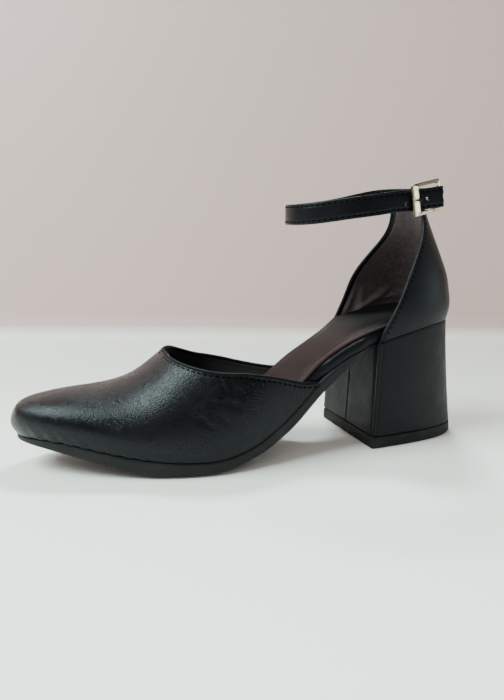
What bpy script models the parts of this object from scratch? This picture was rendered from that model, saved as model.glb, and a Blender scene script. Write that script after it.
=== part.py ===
"""Left ankle-strap court shoe with a block heel, standing empty on its sole.

Frame: metres, +Z up. The floor is z = 0 and the origin lies on it under the heel.
The toe points to -X and the outer (lateral) side of the foot faces -Y.
"""
from collections import namedtuple
import math

import bmesh
import bpy
from mathutils import Matrix
from mathutils import Vector
import numpy as np

MM = 0.001

# Driving sizes of the shoe
TOE_X = -206.5 * MM
FIT_GAP = 0.3 * MM
UPPER_WALL = 1.8 * MM
COUNTER_WALL = 2.0 * MM
SOCK_THICKNESS = 1.2 * MM
SOCK_MARGIN = 2.2 * MM
INSOLE_EDGE_ROUND = 1.6 * MM
WAIST_MARGIN = 0.8 * MM
WAIST_BLEND = 9.0 * MM
HEEL_HEIGHT = 66.0 * MM
TOP_PIECE_HEIGHT = 6.5 * MM
TOP_PIECE_EDGE = 0.5 * MM
COUNTER_TOP_Z = 134.0 * MM
STRAP_WIDTH = 10.2 * MM
STRAP_THICKNESS = 1.6 * MM

# Places along the foot, measured from the tip of the sole
THROAT_ALONG = 72.5 * MM
VAMP_END_ALONG = 141.3 * MM
BREAST_ALONG = 176.5 * MM
OUTSOLE_END_ALONG = 175.9 * MM

# Sections lie closer together towards the toe and the throat, where the form turns fastest
SECTION_CROWDING = 1.5

# Plan of the feather line, where the upper meets the sole: y of its two sides
PlanRow = namedtuple("PlanRow", "along lateral medial")
PLAN = (
    PlanRow(0.0, 7.0, 7.0),
    PlanRow(1.5, 1.2, 12.6),
    PlanRow(5.0, -3.6, 17.2),
    PlanRow(13.0, -10.2, 22.8),
    PlanRow(23.0, -16.2, 27.2),
    PlanRow(35.0, -22.0, 31.2),
    PlanRow(50.0, -28.2, 34.8),
    PlanRow(65.0, -33.2, 36.8),
    PlanRow(78.0, -36.0, 37.0),
    PlanRow(90.0, -36.9, 35.6),
    PlanRow(103.0, -35.8, 32.0),
    PlanRow(117.0, -32.8, 26.6),
    PlanRow(131.0, -29.7, 19.9),
    PlanRow(145.0, -27.8, 15.2),
    PlanRow(160.0, -27.4, 16.2),
    PlanRow(170.0, -28.1, 22.8),
    PlanRow(176.5, -28.6, 28.6),
)

# Side profile: height of the feather line, of the tread under it, and the insole's thickness
ProfileRow = namedtuple("ProfileRow", "along feather tread crown insole")
PROFILE = (
    ProfileRow(0.0, 16.5, 14.1, 0.4, 2.2),
    ProfileRow(13.0, 16.3, 11.8, 0.9, 2.3),
    ProfileRow(23.0, 15.2, 9.3, 1.2, 2.4),
    ProfileRow(35.0, 12.9, 6.0, 1.5, 2.5),
    ProfileRow(50.0, 10.0, 2.1, 1.7, 2.6),
    ProfileRow(65.0, 8.1, -0.3, 1.8, 2.7),
    ProfileRow(80.0, 7.2, -0.6, 1.8, 2.8),
    ProfileRow(92.0, 7.6, 0.6, 1.6, 3.1),
    ProfileRow(103.0, 10.2, 3.5, 1.2, 3.5),
    ProfileRow(113.0, 14.2, 7.3, 0.9, 4.0),
    ProfileRow(124.0, 21.0, 13.3, 0.7, 4.6),
    ProfileRow(133.0, 28.2, 20.0, 0.6, 5.0),
    ProfileRow(143.5, 38.0, 30.2, 0.6, 5.1),
    ProfileRow(155.0, 46.6, 40.1, 0.6, 5.1),
    ProfileRow(165.0, 52.1, 47.2, 0.6, 5.1),
    ProfileRow(172.0, 55.2, 50.6, 0.6, 5.1),
    ProfileRow(177.0, 57.0, 52.4, 0.6, 5.1),
    ProfileRow(189.5, 60.3, 55.7, 0.6, 5.1),
    ProfileRow(201.5, 63.2, 58.6, 0.6, 5.1),
    ProfileRow(212.5, 65.2, 60.6, 0.6, 5.1),
    ProfileRow(222.5, 66.3, 61.7, 0.6, 5.1),
    ProfileRow(232.5, 66.6, 62.0, 0.6, 5.1),
)

# Upper over the forefoot: crest of each section, how far it leans ahead of its base, how full it is
VampRow = namedtuple("VampRow", "along lean crest_y crest_z bulge fullness")
VAMP = (
    VampRow(0.0, 1.6, 7.0, 25.6, 0.0, 0.90),
    VampRow(2.0, 3.0, 7.0, 28.0, 0.3, 0.88),
    VampRow(6.0, 5.3, 7.0, 30.5, 0.8, 0.86),
    VampRow(13.0, 7.8, 7.0, 33.0, 1.3, 0.85),
    VampRow(23.0, 9.0, 6.9, 34.9, 1.7, 0.86),
    VampRow(35.0, 8.5, 6.6, 36.4, 1.9, 0.88),
    VampRow(50.0, 6.5, 6.0, 38.3, 2.0, 0.92),
    VampRow(62.0, 4.2, 5.0, 43.6, 1.9, 0.96),
    VampRow(73.5, 1.8, 3.8, 54.2, 1.6, 0.98),
    VampRow(81.0, 0.4, 3.0, 61.0, 1.4, 1.0),
    VampRow(90.0, 0.0, 2.4, 68.5, 1.3, 1.0),
    VampRow(103.0, 0.0, 1.8, 78.0, 1.1, 1.0),
    VampRow(117.0, 0.0, 1.2, 87.0, 0.9, 1.0),
    VampRow(131.0, 0.0, 0.6, 96.5, 0.6, 1.0),
    VampRow(143.5, 0.0, 0.0, 105.0, 0.3, 1.0),
)

# Topline of the two wings behind the throat: height above the feather line
ToplineRow = namedtuple("ToplineRow", "behind lateral medial")
TOPLINE = (
    ToplineRow(0.0, 45.3, 45.3),
    ToplineRow(0.7, 44.6, 45.9),
    ToplineRow(1.75, 43.9, 46.3),
    ToplineRow(5.0, 42.5, 45.0),
    ToplineRow(10.5, 41.1, 42.5),
    ToplineRow(18.75, 39.4, 39.0),
    ToplineRow(28.5, 36.4, 34.3),
    ToplineRow(38.5, 31.2, 28.4),
    ToplineRow(49.5, 22.4, 20.0),
    ToplineRow(59.75, 11.6, 10.6),
    ToplineRow(68.8, 0.8, 0.8),
)

# Horseshoe plans round the heel: level, open front, back, half width, squareness, cut front edge
HeelRow = namedtuple("HeelRow", "level front back half power cut")
COUNTER = (
    HeelRow(0.0, -30.0, 24.2, 28.6, 3.2, -29.4),
    HeelRow(0.083, -28.5, 25.4, 29.3, 3.2, -25.9),
    HeelRow(0.225, -26.0, 24.5, 29.2, 3.1, -19.5),
    HeelRow(0.344, -23.5, 22.9, 28.0, 3.0, -14.8),
    HeelRow(0.493, -20.5, 18.9, 25.5, 2.9, -8.5),
    HeelRow(0.6, -18.0, 16.0, 23.2, 2.7, -3.9),
    HeelRow(0.702, -15.5, 13.1, 21.0, 2.5, -0.3),
    HeelRow(0.821, -13.0, 9.4, 19.4, 2.3, 1.2),
    HeelRow(0.91, -12.0, 7.4, 18.6, 2.1, 0.8),
    HeelRow(1.0, -11.5, 6.4, 18.2, 2.0, 0.5),
)
HORSESHOE_ROOT = 2.25
BREAST_BOTTOM_X = -32.0 * MM
BREAST_TOP_X = -30.0 * MM
HEEL_BACK_BOTTOM = 33.4 * MM
HEEL_BACK_TOP = 24.2 * MM
HEEL_BACK_FLARE = 1.3
HEEL_HALF_WIDTH = 28.6 * MM
HEEL_SIDE_TAPER = 0.07
HEEL_POWER_BOTTOM = 4.0
HEEL_POWER_TOP = 3.2

# Ankle strap: its middle line from the back tab round the ankle to the buckle's front bar
StrapRow = namedtuple("StrapRow", "x y z")
STRAP_PATH = (
    StrapRow(4.7, -19.5, 130.6),
    StrapRow(6.4, -12.5, 131.3),
    StrapRow(8.1, -5.5, 132.1),
    StrapRow(8.6, 0.5, 132.7),
    StrapRow(7.5, 7.0, 133.2),
    StrapRow(4.8, 12.4, 133.6),
    StrapRow(0.6, 17.0, 133.8),
    StrapRow(-7.0, 22.3, 133.2),
    StrapRow(-19.0, 26.7, 130.6),
    StrapRow(-33.0, 28.0, 127.6),
    StrapRow(-47.0, 26.0, 125.3),
    StrapRow(-58.5, 20.0, 123.6),
    StrapRow(-66.5, 10.5, 122.3),
    StrapRow(-69.1, 0.0, 121.5),
    StrapRow(-66.6, -10.5, 121.0),
    StrapRow(-58.8, -19.5, 121.7),
    StrapRow(-47.0, -25.0, 123.5),
    StrapRow(-33.0, -27.6, 125.5),
    StrapRow(-21.5, -28.3, 127.2),
)

# Buckle: a flat frame with a wide front bar, in its own plan (x to the rear, y inwards)
BUCKLE_LENGTH = 19.5 * MM
BUCKLE_HEIGHT = 15.4 * MM
BUCKLE_THICKNESS = 1.6 * MM
FRONT_BAR_WIDTH = 4.4 * MM
RAIL_WIDTH = 1.8 * MM
REAR_BAR_WIDTH = 1.8 * MM
BUCKLE_EDGE_ROUND = 0.4 * MM
BUCKLE_FRONT = (-15.2 * MM, -30.3 * MM, 127.6 * MM)
BUCKLE_REAR = (1.6 * MM, -25.9 * MM, 130.5 * MM)
REAR_BAR_X = 0.5 * (BUCKLE_LENGTH - REAR_BAR_WIDTH)
FRONT_BAR_X = 0.5 * (FRONT_BAR_WIDTH - BUCKLE_LENGTH)
FOLD_RADIUS = 2.15 * MM
PRONG_DIAMETER = 1.2 * MM
EYE_RADIUS = 1.9 * MM
SLOT_HALF_WIDTH = 1.2 * MM

# The strap under the front bar and over the rear bar to its free end, in the buckle's plan
BucklePoint = namedtuple("BucklePoint", "x y")
STRAP_IN_BUCKLE = (
    BucklePoint(-7.5, 1.95),
    BucklePoint(-4.5, 1.65),
    BucklePoint(-1.5, 0.55),
    BucklePoint(2.0, -1.2),
    BucklePoint(5.0, -2.75),
    BucklePoint(7.4, -4.0),
)
FOLD_SLOT = (
    BucklePoint(5.2, -1.5),
    BucklePoint(8.6, -3.3),
    BucklePoint(12.4, -3.4),
    BucklePoint(12.4, 3.8),
    BucklePoint(5.2, 3.8),
)
HoleRow = namedtuple("HoleRow", "x rise diameter")
STRAP_HOLES = (
    HoleRow(-11.8, -0.9, 1.9),
    HoleRow(-3.75, 0.0, 2.8),
    HoleRow(0.3, 0.3, 1.9),
)

# The prong from its eye on the rear bar, below the strap, through a hole and over the front bar
PRONG_PATH = (
    BucklePoint(6.9, -1.6),
    BucklePoint(5.3, -0.85),
    BucklePoint(2.0, 0.95),
    BucklePoint(-1.0, 2.5),
    BucklePoint(-2.6, 2.85),
    BucklePoint(-3.55, 2.0),
    BucklePoint(-4.0, 0.8),
    BucklePoint(-4.35, -0.3),
    BucklePoint(-4.7, -1.1),
    BucklePoint(-5.4, -1.75),
    BucklePoint(-6.6, -1.9),
    BucklePoint(-8.2, -1.8),
)


def column(table, name):
    """One column of a table, in metres."""
    return np.array([getattr(row, name) for row in table], float) * MM


def spline(knots, values, at):
    """Natural cubic spline through the knots, read at the given places."""
    knots = np.asarray(knots, float)
    values = np.asarray(values, float)
    at = np.asarray(at, float)
    step = np.diff(knots)
    slope = np.diff(values) / step
    size = len(knots)
    system = np.eye(size)
    right = np.zeros(size)
    for i in range(1, size - 1):
        system[i, i - 1:i + 2] = step[i - 1], 2.0 * (step[i - 1] + step[i]), step[i]
        right[i] = 6.0 * (slope[i] - slope[i - 1])
    bend = np.linalg.solve(system, right)
    i = np.clip(np.searchsorted(knots, at) - 1, 0, size - 2)
    before = at - knots[i]
    after = knots[i + 1] - at
    cubic = (bend[i] * after**3 + bend[i + 1] * before**3) / (6.0 * step[i])
    ends = (values[i] / step[i] - bend[i] * step[i] / 6.0) * after
    return cubic + ends + (values[i + 1] / step[i] - bend[i + 1] * step[i] / 6.0) * before


def profile(name, x):
    """A height of the side profile at x."""
    return spline(column(PROFILE, "along"), column(PROFILE, name), np.asarray(x) - TOE_X)


def tread_height(x):
    """Height of the tread: the rocker of the sole, cut flat where it meets the floor."""
    return np.maximum(profile("tread", x), 0.0)


def steepness(x):
    """How much longer a vertical cut through a sloping layer is than its thickness."""
    step = 0.5 * MM
    rise = (profile("feather", x + step) - profile("feather", x - step)) / (2.0 * step)
    return np.sqrt(1.0 + rise**2)


def plan_sides(along):
    """y of the lateral and medial feather line; a square root of the way rounds the toe."""
    knots = np.sqrt(column(PLAN, "along"))
    at = np.sqrt(along)
    return spline(knots, column(PLAN, "lateral"), at), spline(knots, column(PLAN, "medial"), at)


def horseshoe(front, back, half, power, cut, turn, taper=0.0):
    """Plan round the heel: turn runs from -1, the lateral front edge, by 0, the back, to 1."""
    x = back - (back - cut) * turn**2
    reach = np.clip((x - front) / (back - front), 0.0, 1.0)
    y = (half - taper * (x - front)) * (1.0 - reach**power) ** (1.0 / HORSESHOE_ROOT)
    return x, np.sign(turn) * y


def smooth_step(low, high, at):
    """Smooth change from 0 to 1 between two places."""
    t = np.clip((at - low) / (high - low), 0.0, 1.0)
    return t * t * (3.0 - 2.0 * t)


def foot_outline(sections, heel_sections):
    """Plan points of the whole feather line, lateral and medial, from the toe to the heel's back."""
    along = BREAST_ALONG * np.linspace(0.0, 1.0, sections) ** SECTION_CROWDING
    lateral, medial = plan_sides(along)
    turn = np.linspace(1.0, 0.0, heel_sections)[1:]
    heel_x, heel_y = horseshoe(BREAST_TOP_X, HEEL_BACK_TOP, HEEL_HALF_WIDTH, HEEL_POWER_TOP,
                               BREAST_TOP_X, turn)
    x = np.append(along + TOE_X, heel_x)
    lateral_side = np.column_stack((x, np.append(lateral, -heel_y)))
    medial_side = np.column_stack((x, np.append(medial, heel_y)))
    return lateral_side, medial_side


def inset(lateral, medial, distance):
    """Move a closed plan inwards, each point along its own normal, by its own distance."""
    count = len(lateral)
    loop = np.vstack((lateral, medial[-2:0:-1]))
    ahead = np.roll(loop, -1, axis=0)
    behind = np.roll(loop, 1, axis=0)
    tangent = ahead - behind
    tangent /= np.linalg.norm(tangent, axis=1)[:, None]
    normal = np.column_stack((-tangent[:, 1], tangent[:, 0]))
    moved = loop + normal * np.append(distance, distance[-2:0:-1])[:, None]
    moved_medial = np.vstack((moved[:1], moved[:count - 2:-1]))
    return moved[:count], moved_medial


def ring(lateral, medial, height, closed_heel):
    """A closed loop of points: down the lateral side and back up the medial side."""
    medial_back = medial[-2:0:-1] if closed_heel else medial[:0:-1]
    loop = np.vstack((lateral, medial_back))
    return np.column_stack((loop, height(loop[:, 0])))


def cap(count, size, first, closed_heel):
    """Faces across a ring, between the lateral point and the medial point of each section."""
    faces = []
    last = count - 1 if not closed_heel else count - 2
    for i in range(count - 1):
        here = [first + i, first + i + 1]
        across = []
        if i + 1 <= last:
            across.append(first + size - i - 1)
        if i > 0:
            across.append(first + size - i)
        faces.append(here + across)
    return faces


def stack_faces(count, size, rings, closed_heel):
    """Side faces between rings laid one over another, with a cap on the lowest and the highest."""
    faces = [face[::-1] for face in cap(count, size, 0, closed_heel)]
    for k in range(rings - 1):
        low = k * size
        high = low + size
        for i in range(size):
            j = (i + 1) % size
            faces.append([low + i, low + j, high + j, high + i])
    return faces + cap(count, size, (rings - 1) * size, closed_heel)


def grid_faces(rows, columns, first=0, flip=False):
    """Four-sided faces of a grid of points."""
    faces = []
    for i in range(rows - 1):
        for j in range(columns - 1):
            a = first + i * columns + j
            face = [a, a + columns, a + columns + 1, a + 1]
            faces.append(face[::-1] if flip else face)
    return faces


def tube_faces(stations, size):
    """Faces of a closed section carried along an open path, with flat ends."""
    faces = [list(range(size))[::-1]]
    for i in range(stations - 1):
        for j in range(size):
            k = (j + 1) % size
            faces.append([i * size + j, i * size + k, (i + 1) * size + k, (i + 1) * size + j])
    faces.append([(stations - 1) * size + j for j in range(size)])
    return faces


def material(name, colour, roughness, metallic=0.0):
    """A plain finish for one piece."""
    finish = bpy.data.materials.new(name)
    finish.use_nodes = True
    shader = finish.node_tree.nodes["Principled BSDF"]
    shader.inputs["Base Color"].default_value = (*colour, 1.0)
    shader.inputs["Roughness"].default_value = roughness
    shader.inputs["Metallic"].default_value = metallic
    return finish


def add_piece(name, points, faces, finish, parent, outward=True):
    """A named piece from points and faces, merged where points coincide and shaded smooth."""
    mesh = bpy.data.meshes.new(name)
    mesh.from_pydata(np.asarray(points).tolist(), [], faces)
    form = bmesh.new()
    form.from_mesh(mesh)
    bmesh.ops.remove_doubles(form, verts=form.verts, dist=0.001 * MM)
    bmesh.ops.dissolve_degenerate(form, edges=form.edges, dist=0.001 * MM)
    if outward:
        bmesh.ops.recalc_face_normals(form, faces=form.faces)
    form.to_mesh(mesh)
    form.free()
    mesh.shade_smooth()
    mesh.set_sharp_from_angle(angle=math.radians(40.0))
    mesh.materials.append(finish)
    piece = bpy.data.objects.new(name, mesh)
    piece.parent = parent
    bpy.context.scene.collection.objects.link(piece)
    return piece


def add_wall(piece, thickness):
    """Give an open skin its wall, on the inner side."""
    wall = piece.modifiers.new("wall", "SOLIDIFY")
    wall.thickness = thickness
    wall.offset = -1.0
    wall.use_rim = True


def add_cutter(piece, name, points, faces):
    """Cut a hidden form out of a piece."""
    mesh = bpy.data.meshes.new(name)
    mesh.from_pydata(np.asarray(points).tolist(), [], faces)
    form = bmesh.new()
    form.from_mesh(mesh)
    bmesh.ops.recalc_face_normals(form, faces=form.faces)
    form.to_mesh(mesh)
    form.free()
    cutter = bpy.data.objects.new(name, mesh)
    cutter.hide_render = True
    cutter.display_type = "WIRE"
    cutter.parent = piece.parent
    bpy.context.scene.collection.objects.link(cutter)
    cut = piece.modifiers.new(name, "BOOLEAN")
    cut.operation = "DIFFERENCE"
    cut.solver = "EXACT"
    cut.object = cutter


def make_outsole(parent):
    """Rubber outsole from the toe to the heel's breast, with toe spring, flat tread and thin waist."""
    sections = 40
    along = OUTSOLE_END_ALONG * np.linspace(0.0, 1.0, sections) ** SECTION_CROWDING
    lateral_y, medial_y = plan_sides(along)
    x = along + TOE_X
    lateral = np.column_stack((x, lateral_y))
    medial = np.column_stack((x, medial_y))
    middle = 0.5 * (lateral + medial)

    def edge_height(share):
        return lambda at: tread_height(at) + share * profile("crown", at)

    # Share of the way in to the middle of the foot, and the height there, from the tread upwards
    layers = (
        (0.30, edge_height(0.0)),
        (0.15, edge_height(0.12)),
        (0.05, edge_height(0.5)),
        (0.01, edge_height(1.0)),
        (0.0, lambda at: 0.5 * (edge_height(1.0)(at) + profile("feather", at))),
        (0.0, lambda at: profile("feather", at)),
    )
    rings = []
    for share, height in layers:
        inner_lateral = lateral + share * (middle - lateral)
        inner_medial = medial + share * (middle - medial)
        rings.append(ring(inner_lateral, inner_medial, height, closed_heel=False))
    faces = stack_faces(sections, len(rings[0]), len(rings), closed_heel=False)
    finish = material("outsole_rubber", (0.018, 0.018, 0.020), 0.55)
    return add_piece("outsole", np.vstack(rings), faces, finish, parent)


def seat_margin(x, walls, waist):
    """Distance in from the feather line: the wall where an upper stands, less at the open waist."""
    along = x - TOE_X
    behind_vamp = smooth_step(VAMP_END_ALONG + MM, VAMP_END_ALONG + WAIST_BLEND, along)
    before_counter = smooth_step(OUTSOLE_END_ALONG - WAIST_BLEND, OUTSOLE_END_ALONG - MM, along)
    open_waist = behind_vamp - before_counter
    return walls + (waist - walls) * open_waist


def make_insole(parent):
    """Insole board with its padding and wrapped edge, lying on the outsole and the heel's seat."""
    lateral, medial = foot_outline(sections=40, heel_sections=9)
    walls = COUNTER_WALL + 2.0 * FIT_GAP
    margin = seat_margin(lateral[:, 0], walls, WAIST_MARGIN)

    def height(share, drop=0.0):
        def at_x(x):
            rise = share * profile("insole", x) * steepness(x)
            return profile("feather", x) + FIT_GAP * steepness(x) + rise - drop
        return at_x

    layers = ((0.0, height(0.0)), (0.0, height(1.0, INSOLE_EDGE_ROUND)),
              (0.3 * INSOLE_EDGE_ROUND, height(1.0, 0.35 * INSOLE_EDGE_ROUND)),
              (INSOLE_EDGE_ROUND, height(1.0)))
    rings = [ring(*inset(lateral, medial, margin + extra), at, closed_heel=True) for extra, at in layers]
    faces = stack_faces(len(lateral), len(rings[0]), len(rings), closed_heel=True)
    finish = material("insole_wrap", (0.020, 0.020, 0.021), 0.45)
    return add_piece("insole_board", np.vstack(rings), faces, finish, parent)


def make_sock(parent):
    """Sock lining glued over the insole, a little smaller than it all round."""
    lateral, medial = foot_outline(sections=40, heel_sections=9)
    walls = COUNTER_WALL + 3.0 * FIT_GAP
    margin = seat_margin(lateral[:, 0], walls, WAIST_MARGIN + SOCK_MARGIN)

    def height(lift):
        def at_x(x):
            rise = profile("insole", x) + 2.0 * FIT_GAP + lift
            return profile("feather", x) + rise * steepness(x)
        return at_x

    edge = 0.5 * SOCK_THICKNESS
    layers = ((0.0, height(0.0)), (0.0, height(edge)), (edge, height(SOCK_THICKNESS)))
    rings = [ring(*inset(lateral, medial, margin + extra), at, closed_heel=True) for extra, at in layers]
    faces = stack_faces(len(lateral), len(rings[0]), len(rings), closed_heel=True)
    finish = material("sock_lining", (0.060, 0.048, 0.044), 0.60)
    return add_piece("sock_lining", np.vstack(rings), faces, finish, parent)


def heel_plan(share, turn):
    """Plan of the heel at a share of its height, from the floor to the seat."""
    front = BREAST_BOTTOM_X + share * (BREAST_TOP_X - BREAST_BOTTOM_X)
    back = HEEL_BACK_TOP + (HEEL_BACK_BOTTOM - HEEL_BACK_TOP) * (1.0 - share) ** HEEL_BACK_FLARE
    power = HEEL_POWER_BOTTOM + share * (HEEL_POWER_TOP - HEEL_POWER_BOTTOM)
    taper = HEEL_SIDE_TAPER * (1.0 - share)
    return horseshoe(front, back, HEEL_HALF_WIDTH, power, front, turn, taper)


def heel_stack(name, levels, turns, height, finish, parent):
    """A solid of the heel's plan between levels; the breast closes each plan in front."""
    turn = np.linspace(-1.0, 1.0, turns)
    rings = []
    for share, shrink in levels:
        x, y = heel_plan(share, turn)
        scale = 1.0 - shrink / HEEL_HALF_WIDTH
        rings.append(np.column_stack((x * scale, y * scale, height(share, x))))
    half = turns // 2
    order = list(range(half, turns)) + list(range(0, half))
    rings = [points[order] for points in rings]
    faces = stack_faces(half + 1, turns, len(rings), closed_heel=False)
    return add_piece(name, np.vstack(rings), faces, finish, parent)


def make_heel(parent):
    """Covered block heel under the seat, with a flat breast and straight sides."""
    base = TOP_PIECE_HEIGHT + FIT_GAP
    first_share = base / HEEL_HEIGHT
    levels = [(share, 0.0) for share in np.linspace(first_share, 1.0, 9)]

    def height(share, x):
        rise = (share - first_share) / (1.0 - first_share)
        return base + rise * (profile("feather", x) - base)

    finish = material("heel_cover", (0.018, 0.018, 0.019), 0.40)
    return heel_stack("heel_block", levels, 33, height, finish, parent)


def make_top_piece(parent):
    """Rubber top piece that the heel stands on, flat on the floor."""
    top_share = TOP_PIECE_HEIGHT / HEEL_HEIGHT
    levels = ((0.0, TOP_PIECE_EDGE), (0.1 * top_share, 0.0), (top_share, 0.0))

    def height(share, x):
        return np.full_like(x, TOP_PIECE_HEIGHT * share / top_share)

    finish = material("top_piece_rubber", (0.020, 0.020, 0.021), 0.70)
    return heel_stack("heel_top_piece", levels, 33, height, finish, parent)


def vamp_points(along, angle, side):
    """Points of the forefoot's upper: an arch from the feather line (angle 0) up to the crest."""
    rows = column(VAMP, "along")
    knots = np.sqrt(rows)
    at = np.sqrt(along)

    def read(name):
        return spline(knots, column(VAMP, name), at)[:, None]

    x = (along + TOE_X)[:, None]
    edge = plan_sides(along)[0 if side < 0 else 1][:, None]
    foot = profile("feather", along + TOE_X)[:, None] + FIT_GAP
    fullness = read("fullness") / MM
    across = np.cos(angle).clip(0.0) ** fullness
    up = np.sin(angle).clip(0.0) ** fullness
    y = read("crest_y") + (edge - read("crest_y")) * across
    y = y + side * read("bulge") * np.sin(2.0 * angle)
    z = foot + (read("crest_z") - foot) * up
    return np.stack((x - read("lean") * up, y, z), axis=-1)


def topline_angle(along, side):
    """Angle up each arch at which the wing's topline lies; the whole arch ahead of the throat."""
    behind = np.maximum(along - THROAT_ALONG, 0.0)
    knots = np.sqrt(column(TOPLINE, "behind"))
    rise = spline(knots, column(TOPLINE, "lateral" if side < 0 else "medial"), np.sqrt(behind))
    root = np.sqrt(column(VAMP, "along"))
    crest = spline(root, column(VAMP, "crest_z"), np.sqrt(along))
    fullness = spline(root, column(VAMP, "fullness"), np.sqrt(along)) / MM
    share = rise / (crest - profile("feather", along + TOE_X) - FIT_GAP)
    angle = np.arcsin(np.clip(share, 0.0, 1.0) ** (1.0 / fullness))
    return np.where(along <= THROAT_ALONG, math.pi / 2.0, angle)


def make_vamp(parent):
    """Hollow upper over the forefoot: pointed round toe, open throat and two wings to the waist."""
    front = THROAT_ALONG * np.linspace(0.0, 1.0, 23) ** SECTION_CROWDING
    wings = (VAMP_END_ALONG - THROAT_ALONG) * np.linspace(0.0, 1.0, 17)[1:] ** SECTION_CROWDING
    along = np.append(front, THROAT_ALONG + wings)
    rows = 13
    share = np.linspace(0.0, 1.0, rows)[None, :]
    points = []
    faces = []
    for side in (-1.0, 1.0):
        angle = topline_angle(along, side)[:, None] * share
        first = len(points) * len(along) * rows
        points.append(vamp_points(along, angle, side).reshape(-1, 3))
        faces += grid_faces(len(along), rows, first, flip=side > 0)
    finish = material("upper_leather", (0.016, 0.016, 0.017), 0.38)
    piece = add_piece("vamp", np.vstack(points), faces, finish, parent, outward=False)
    add_wall(piece, UPPER_WALL)
    return piece


def counter_points(level, turn):
    """Points of the back quarter: a horseshoe at each level, cut back along its two front edges."""
    rows = np.array([row.level for row in COUNTER])

    def read(name):
        return spline(rows, np.array([getattr(row, name) for row in COUNTER]), level)[:, None]

    x, y = horseshoe(read("front") * MM, read("back") * MM, read("half") * MM, read("power"),
                     read("cut") * MM, turn[None, :])
    seat = profile("feather", x) + FIT_GAP
    z = seat + level[:, None] * (COUNTER_TOP_Z - seat)
    return np.stack((x, y, z), axis=-1)


def make_counter(parent):
    """Hollow back quarter: it cups the heel and narrows to a tab behind the ankle."""
    level = np.linspace(0.0, 1.0, 15)
    turn = np.linspace(-1.0, 1.0, 27)
    points = counter_points(level, turn)
    faces = grid_faces(len(level), len(turn), flip=True)
    finish = material("counter_leather", (0.016, 0.016, 0.017), 0.38)
    piece = add_piece("counter", points.reshape(-1, 3), faces, finish, parent, outward=False)
    add_wall(piece, COUNTER_WALL)
    return piece


def buckle_matrix():
    """Place of the buckle: x from its front bar to its rear bar, y inwards, z up along the frame."""
    front = Vector(BUCKLE_FRONT)
    rear = Vector(BUCKLE_REAR)
    run = (rear - front).normalized()
    inward = Vector((0.0, 0.0, 1.0)).cross(run).normalized()
    up = run.cross(inward)
    place = Matrix((run, inward, up)).transposed().to_4x4()
    place.translation = 0.5 * (front + rear) - run * 0.5 * (FRONT_BAR_X + REAR_BAR_X)
    return place


def in_buckle(points):
    """Points of the buckle's plan, put in the shoe's frame."""
    place = buckle_matrix()
    return np.array([place @ Vector((x, y, 0.0)) for x, y in points])


def arc(centre_x, radius, start_degrees, end_degrees, count):
    """Points of a round bend about the rear bar, in the buckle's plan."""
    angles = np.radians(np.linspace(start_degrees, end_degrees, count))
    return np.column_stack((centre_x + radius * np.cos(angles), radius * np.sin(angles)))


def smooth_path(knots, upright, spacing):
    """Points on a smooth curve through the knots at about the spacing, and the upright at each."""
    reach = np.linalg.norm(np.diff(knots, axis=0), axis=1)
    way = np.append(0.0, np.cumsum(reach))
    fine = [way[0]]
    for i, length in enumerate(reach):
        parts = max(1, round(length / spacing))
        fine += list(way[i] + length * np.arange(1, parts + 1) / parts)
    line = np.column_stack([spline(way, knots[:, axis], fine) for axis in range(3)])
    return line, np.column_stack([np.interp(fine, way, upright[:, axis]) for axis in range(3)])


def ribbon_frames(line, upright):
    """Outward and upward directions across a path, for a section that keeps to the upright."""
    tangent = np.gradient(line, axis=0)
    tangent /= np.linalg.norm(tangent, axis=1)[:, None]
    outward = np.cross(tangent, upright)
    outward /= np.linalg.norm(outward, axis=1)[:, None]
    return outward, np.cross(outward, tangent)


def make_strap(parent):
    """Ankle strap, one loop from its fold on the buckle round the back tab to its free end."""
    fold = in_buckle(arc(REAR_BAR_X, FOLD_RADIUS, 128.0, 335.0, 11))
    loop = np.column_stack([column(STRAP_PATH, name) for name in ("x", "y", "z")])
    ending = in_buckle(np.column_stack([column(STRAP_IN_BUCKLE, name) for name in ("x", "y")]))
    knots = np.vstack((fold, loop, ending))
    upright = np.tile(np.array(buckle_matrix().col[2][:3]), (len(knots), 1))
    upright[len(fold) + 1:len(fold) + len(loop) - 1] = (0.0, 0.0, 1.0)
    line, upright = smooth_path(knots, upright, spacing=4.0 * MM)
    outward, upward = ribbon_frames(line, upright)
    half_wide = 0.5 * STRAP_WIDTH
    half_thick = 0.5 * STRAP_THICKNESS
    edge = 0.35 * STRAP_THICKNESS
    section = np.array([
        (half_thick, -half_wide + edge), (half_thick, half_wide - edge),
        (half_thick - edge, half_wide), (edge - half_thick, half_wide),
        (-half_thick, half_wide - edge), (-half_thick, edge - half_wide),
        (edge - half_thick, -half_wide), (half_thick - edge, -half_wide),
    ])
    points = (line[:, None, :] + outward[:, None, :] * section[None, :, :1]
              + upward[:, None, :] * section[None, :, 1:])
    faces = tube_faces(len(line), len(section))
    finish = material("strap_leather", (0.017, 0.017, 0.018), 0.40)
    strap = add_piece("ankle_strap", points.reshape(-1, 3), faces, finish, parent)
    cut_strap(strap)
    return strap


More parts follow.
